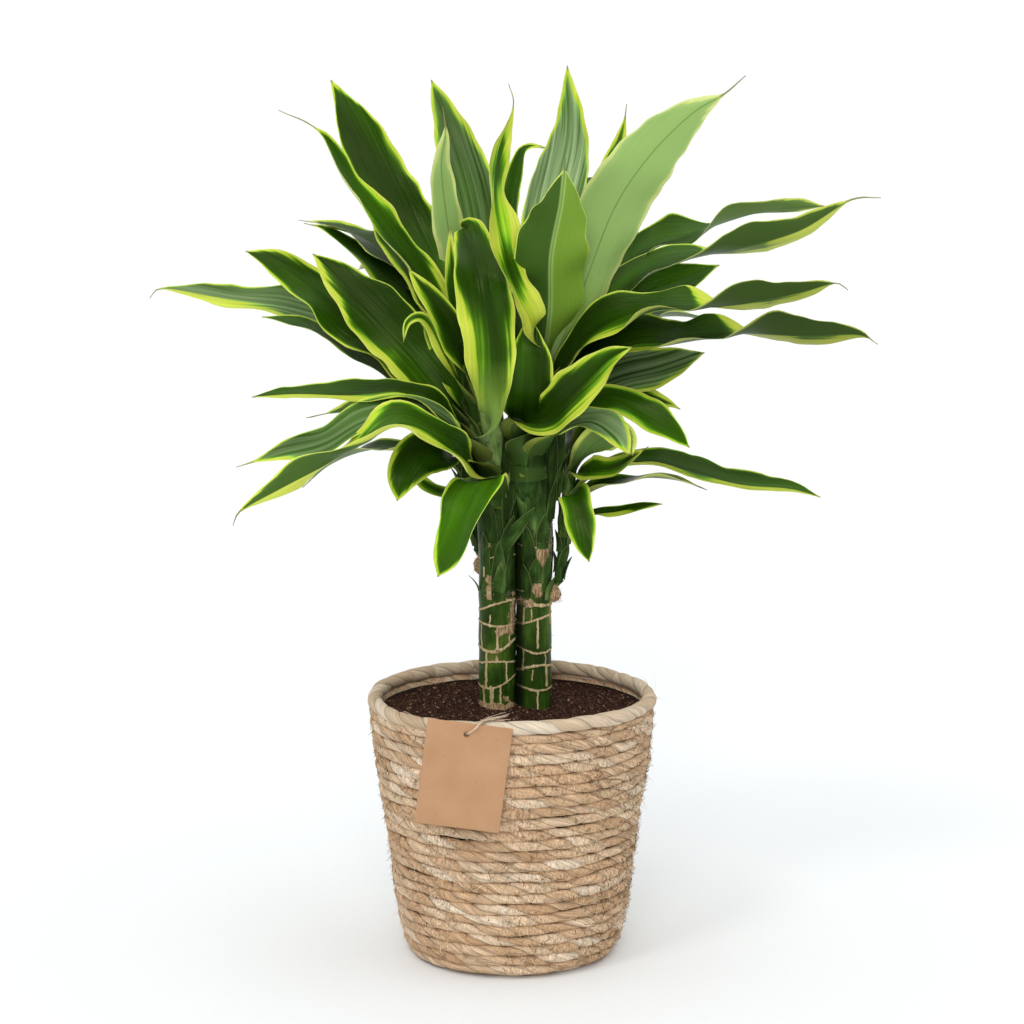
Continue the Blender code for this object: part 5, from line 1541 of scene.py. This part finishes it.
# Old flat bases between the right stem and its side shoot, and the long pale one of the
# middle blade: foot, way, half width, length and tone
FLAT_REACH = 24.0
FLAT_SHEATHS = (
    ((26.5, 0.0, 322.0), (0.06, 0.0, 1.0), 5.0, 80.0, 0.1),
    ((30.0, 3.0, 335.0), (0.1, 0.0, 1.0), 5.5, 70.0, 0.4),
    ((-3.5, -2.0, 322.0), (-0.02, 0.0, 1.0), 5.5, 66.0, 0.0),
    ((-18.0, -31.0, 424.0), (0.1, 0.42, -0.9), 8.0, 80.0, 1.6),
)
for foot, way, half, length, tone in FLAT_SHEATHS:
    core = Vector(foot) + Vector((0.0, FLAT_REACH, 0.0))
    run = Vector(way).normalized()
    sheath_lines.append(sheath_line(core, run, FLAT_REACH, -90.0, half, length, 1.0, tone))
cane_sheaths = show("cane_sheaths", line_mesh("cane_sheaths", sheath_lines))
grow(cane_sheaths, leaf_tree, columns=28, half_thickness=0.25 * MM, ripple=0.3 * MM, finish=sheath_skin)
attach(cane_sheaths, "root")

# Green stem skin: lengthwise ribs in dark greens
stem_skin, tree, shader = new_finish("green_stem_skin")
place = add(tree, "TexCoord", out="Object")
ribs = stretched(tree, place, (500.0, 500.0, 25.0), 3.0)
colour = add(tree, "ValToRGB", ribs, stops=((0.3, "#16290C"), (0.5, "#243F16"), (0.7, "#375423")))
relief = add(tree, "Bump", Height=ribs, Strength=0.5, Distance=0.0006)
fill(
    shader, Base_Color=colour, Normal=relief, Roughness=0.5, Specular_IOR_Level=0.2,
    Specular_Tint=GREEN_GLINT,
)

# Scales on each stem: how many, lowest and highest foot, first turn, half width as a share of
# the stem's radius, and length
STEM_SCALES = {
    "crown_left": (7, 298, 366, 215, 1.2, 58.0),
    "crown_right": (7, 312, 372, 305, 1.2, 60.0),
    "side_shoot": (13, 276, 340, 20, 1.1, 17.0),
    "back_shoot": (7, 298, 345, 200, 1.1, 18.0),
}
for name, table in STEMS.items():
    levels = np.linspace(table[0][2], table[-1][2], 60)
    middles = [(stem_read(name, level, 0), stem_read(name, level, 1), level) for level in levels]
    sizes = [stem_read(name, level, 3) - 0.4 for level in levels]
    core_rows = cord_line(middles, sizes, (1.0, 0.0, 0.0))
    core = show(name + "_core", line_mesh(name + "_core", [core_rows]))
    grow(
        core, cord_tree, thickness=1.0 * MM, twist_length=0.4, strands=5, groove=0.06, flatness=1.0,
        facets=30, finish=stem_skin,
    )
    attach(core, "root")
    count, low, high, first, share, length = STEM_SCALES[name]
    lines = []
    for number in range(count):
        level = low + (high - low) * number / (count - 1)
        reach = stem_read(name, level, 3)
        foot = stem_point(name, max(level, levels[0])) / MM
        foot.z = level
        above = stem_point(name, level + length) / MM
        run = (above - foot).normalized()
        # Scales of the slim shoots stand off further
        stand_off = 3.5 if reach < 6 else 2.0
        turn = first + number * GOLDEN_TURN
        tone = scale_draw.random()
        lines.append(sheath_line(foot, run, reach, turn, reach * share, length, stand_off, tone))
    scales = show(name + "_scales", line_mesh(name + "_scales", lines))
    grow(scales, leaf_tree, columns=28, half_thickness=0.25 * MM, ripple=0.3 * MM, finish=sheath_skin)
    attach(scales, "root")


# Tag: a blank card of brown kraft board with a punched hole and square corners, bowed a
# little by its own twine. It hangs on the twine alone and leans on the rim.
TAG_WIDTH = 60.0
TAG_HEIGHT = 76.0
TAG_THICK = 0.8
TAG_ROLL = -7.5
TAG_MIDDLE = (-33.9, -106.3, 158.6)
TAG_HOLE = (-1.7, 29.7)
TAG_HOLE_RADIUS = 2.0
TAG_BOW = 0.5
TAG_SOFT_EDGE = 0.25
TAG_STEPS = 24


def on_tag(aside, up, out=0.0):
    """A place given across, up and in front of the card, in millimetres, with the card's bow."""
    bow = TAG_BOW * (2 * aside / TAG_WIDTH) ** 2 - 0.25 * math.cos(math.pi * up / TAG_HEIGHT)
    flat = Matrix.Rotation(math.radians(-TAG_ROLL), 3, "Y") @ Vector((aside, -out, up))
    return Vector(TAG_MIDDLE) + flat - Vector((0.0, bow, 0.0))


card_shape = bmesh.new()
hole_steps = 4 * TAG_STEPS
faces = []
for side in (1.0, -1.0):
    rows = []
    # Rings of places run from the hole's edge out to the card's edge
    for share in (0.0, 0.02, 0.12, 0.3, 0.55, 0.8, 0.985, 1.0):
        # The cut edges are rounded off by the shears and the punch
        out = side * (TAG_THICK / 2 - (TAG_SOFT_EDGE if share in (0.0, 1.0) else 0.0))
        row = []
        for step in range(hole_steps):
            edge, along = divmod(step, TAG_STEPS)
            at = 2 * along / TAG_STEPS - 1
            corner = ((at, -1.0), (1.0, at), (-at, 1.0), (-1.0, -at))[edge]
            outer = Vector((corner[0] * TAG_WIDTH / 2, corner[1] * TAG_HEIGHT / 2))
            turn = math.atan2(outer.y - TAG_HOLE[1], outer.x - TAG_HOLE[0])
            inner = Vector(TAG_HOLE) + bearing(turn).xy * TAG_HOLE_RADIUS
            row.append(card_shape.verts.new(on_tag(*inner.lerp(outer, share), out) * MM))
        rows.append(row)
    faces.append(rows)
front, back = faces
# The two faces, and the cut through the card at the hole and at the outline
bands = [*zip(front, front[1:]), *zip(back[1:], back), (back[0], front[0]), (front[-1], back[-1])]
for inner, outer in bands:
    for step in range(hole_steps):
        after = (step + 1) % hole_steps
        card_shape.faces.new((inner[step], outer[step], outer[after], inner[after]))
bmesh.ops.recalc_face_normals(card_shape, faces=card_shape.faces)
card_mesh = settled("tag_card", card_shape, 4)
# Kraft board: mid brown with cloudy fibre formation, short dark and pale fibres, and a dull skin
kraft, tree, shader = new_finish("brown_kraft_board")
place = add(tree, "TexCoord", out="Object")
cloud = add(tree, "TexNoise", place, Scale=38.0, Detail=3.0)
tint = add(tree, "ValToRGB", cloud, stops=((0.3, "#B48A66"), (0.5, "#B98F6B"), (0.72, "#BE9571")))
fibre = stretched(tree, place, (900.0, 900.0, 2600.0), 2.0)
light = add(tree, "MapRange", fibre, 0.3, 0.7, 0.94, 1.05)
tint = add(tree, "VectorMath SCALE", tint, light)
fleck = add(tree, "TexNoise", place, Scale=420.0, Detail=1.0)
fleck = add(tree, "MapRange", fleck, 0.74, 0.8, To_Max=0.6)
tint = add(tree, "Mix", fleck, tint, linear("#7C5234"), data_type="RGBA")
relief = add(tree, "Bump", Height=fibre, Strength=0.25, Distance=0.0002)
fill(shader, Base_Color=tint, Normal=relief, Roughness=0.85, Specular_IOR_Level=0.2)
tag_card = show("tag_card", card_mesh, kraft)
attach(tag_card, "root")
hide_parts("tag")


# Twine: one strip of raffia threaded through the card's hole, over its top edge and the
# rim, down inside and out again between the cords, with two frayed ends left loose.
TWINE_AROUND = -12.0
TWINE_THICK = 0.5
TWINE_STEP = 0.8


def at_twine(radius, height, aside=0.0):
    """A place by its distance from the axis and its height, where the twine goes round the rim."""
    return Matrix.Rotation(math.radians(TWINE_AROUND), 3, "Z") @ Vector((aside, -radius, height))


def strung(points, closed=False):
    """Places on a smooth curve through the points, in millimetres."""
    points = [Vector(point) for point in points]
    return curve_through(points, lambda length: max(round(length / TWINE_STEP), 2) + 1, closed)


hole = on_tag(TAG_HOLE[0], TAG_HOLE[1] + 0.9)
TWINE_ROUTE = [
    hole + Vector((0.3, -1.6, 0.2)), hole, hole + Vector((0.0, 1.6, 0.0)),
    (-26.5, -103.6, 184.4), at_twine(104.8, 181.5), at_twine(95.8, 181.5), at_twine(93.6, 185.0),
    at_twine(93.5, 190.0), at_twine(95.3, 194.7), at_twine(100.0, 196.5), at_twine(104.6, 196.9),
    (-22.6, -107.4, 196.9), (-24.6, -108.9, 193.7),
]
RAFFIA_TONES = ((0.0, "#B2927A"), (0.4, "#CDB49C"), (0.75, "#E0CCB6"), (0.95, "#C6AC88"))
raffia_finish = seagrass_finish("dry_raffia", 0.09, RAFFIA_TONES, 0.0, 0.15, 0.04, 1)
loop = cord_line(strung(TWINE_ROUTE, closed=True))
twine_loop = show("twine_loop", line_mesh("twine_loop", [loop], closed=True))
grow(
    twine_loop, cord_tree, thickness=TWINE_THICK * MM, twist_length=9.0 * MM, strands=3, groove=0.3,
    flatness=1.0, facets=15, finish=raffia_finish,
)
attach(twine_loop, "root")
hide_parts("twine")
# A second, flatter strip beside the first, from the hole up over the card and onto the rim
STRIP_ROUTES = (
    (
        hole + Vector((0.9, -1.1, -0.4)), (-27.6, -108.4, 191.4), (-24.0, -108.6, 194.9),
        (-21.0, -107.2, 197.3), at_twine(104.0, 197.0, 1.6), at_twine(100.4, 197.0, 2.6),
        at_twine(96.0, 196.2, 6.5), at_twine(93.0, 195.0, 12.0),
    ),
    (
        at_twine(104.6, 196.9, 1.0), at_twine(101.0, 197.6, 4.0), at_twine(98.0, 198.6, 9.0),
        at_twine(97.5, 198.8, 16.0),
    ),
)
for number, route in enumerate(STRIP_ROUTES):
    places = strung(route)
    sizes = np.interp(np.arange(len(places)), (0, len(places) * 0.6, len(places) - 1), (1.0, 0.85, 0.12))
    name = f"raffia_strip_{number + 1}"
    strip = show(name, line_mesh(name, [cord_line(places, sizes)]))
    grow(
        strip, cord_tree, thickness=(0.8 - 0.3 * number) * MM, twist_length=60.0 * MM, strands=1,
        groove=0.3, flatness=0.4, facets=12, finish=raffia_finish,
    )
    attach(strip, "root")
# Loose hairs: frayed ends that fan out from where the strips cross the rim, and two that
# stand up from the rim's laps
fray_draw = random.Random(31)
HAIR_SHARES = np.linspace(0.0, 1.0, 9)
fray_lines = []
for number in range(16):
    start = at_twine(100.0 + fray_draw.uniform(-4, 4), 196.8, fray_draw.uniform(0, 3))
    reach = fray_draw.uniform(7, 19)
    turn = math.radians(fray_draw.uniform(-12, 26))
    rise = fray_draw.uniform(0.0, 0.3)
    run = Vector((math.cos(turn), math.sin(turn) * 0.6, rise))
    droop = Vector((0.0, fray_draw.uniform(-1, 1), -fray_draw.uniform(0.0, 2.5)))
    fray_lines.append([start + run * reach * at + droop * at * at for at in HAIR_SHARES])
# Read from the front: two long hairs of the rim, left and right
RIM_HAIRS = (((-77.0, -67.0, 195.2), (-66.0, -79.0, 190.0)), ((19.0, -98.0, 196.5), (28.0, -101.0, 190.5)))
HAIR_BOW = Vector((0.0, -2.5, 2.5))
for start, end in RIM_HAIRS:
    fray_lines.append([
        Vector(start).lerp(Vector(end), at) + HAIR_BOW * math.sin(math.pi * at) for at in HAIR_SHARES
    ])
fray_mesh = line_mesh("raffia_hairs", [cord_line(line) for line in fray_lines])
raffia_hairs = show("raffia_hairs", fray_mesh)
grow(
    raffia_hairs, cord_tree, thickness=0.2 * MM, twist_length=50.0 * MM, strands=1, groove=0.1,
    flatness=1.0, facets=5, finish=raffia_finish,
)
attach(raffia_hairs, "root")
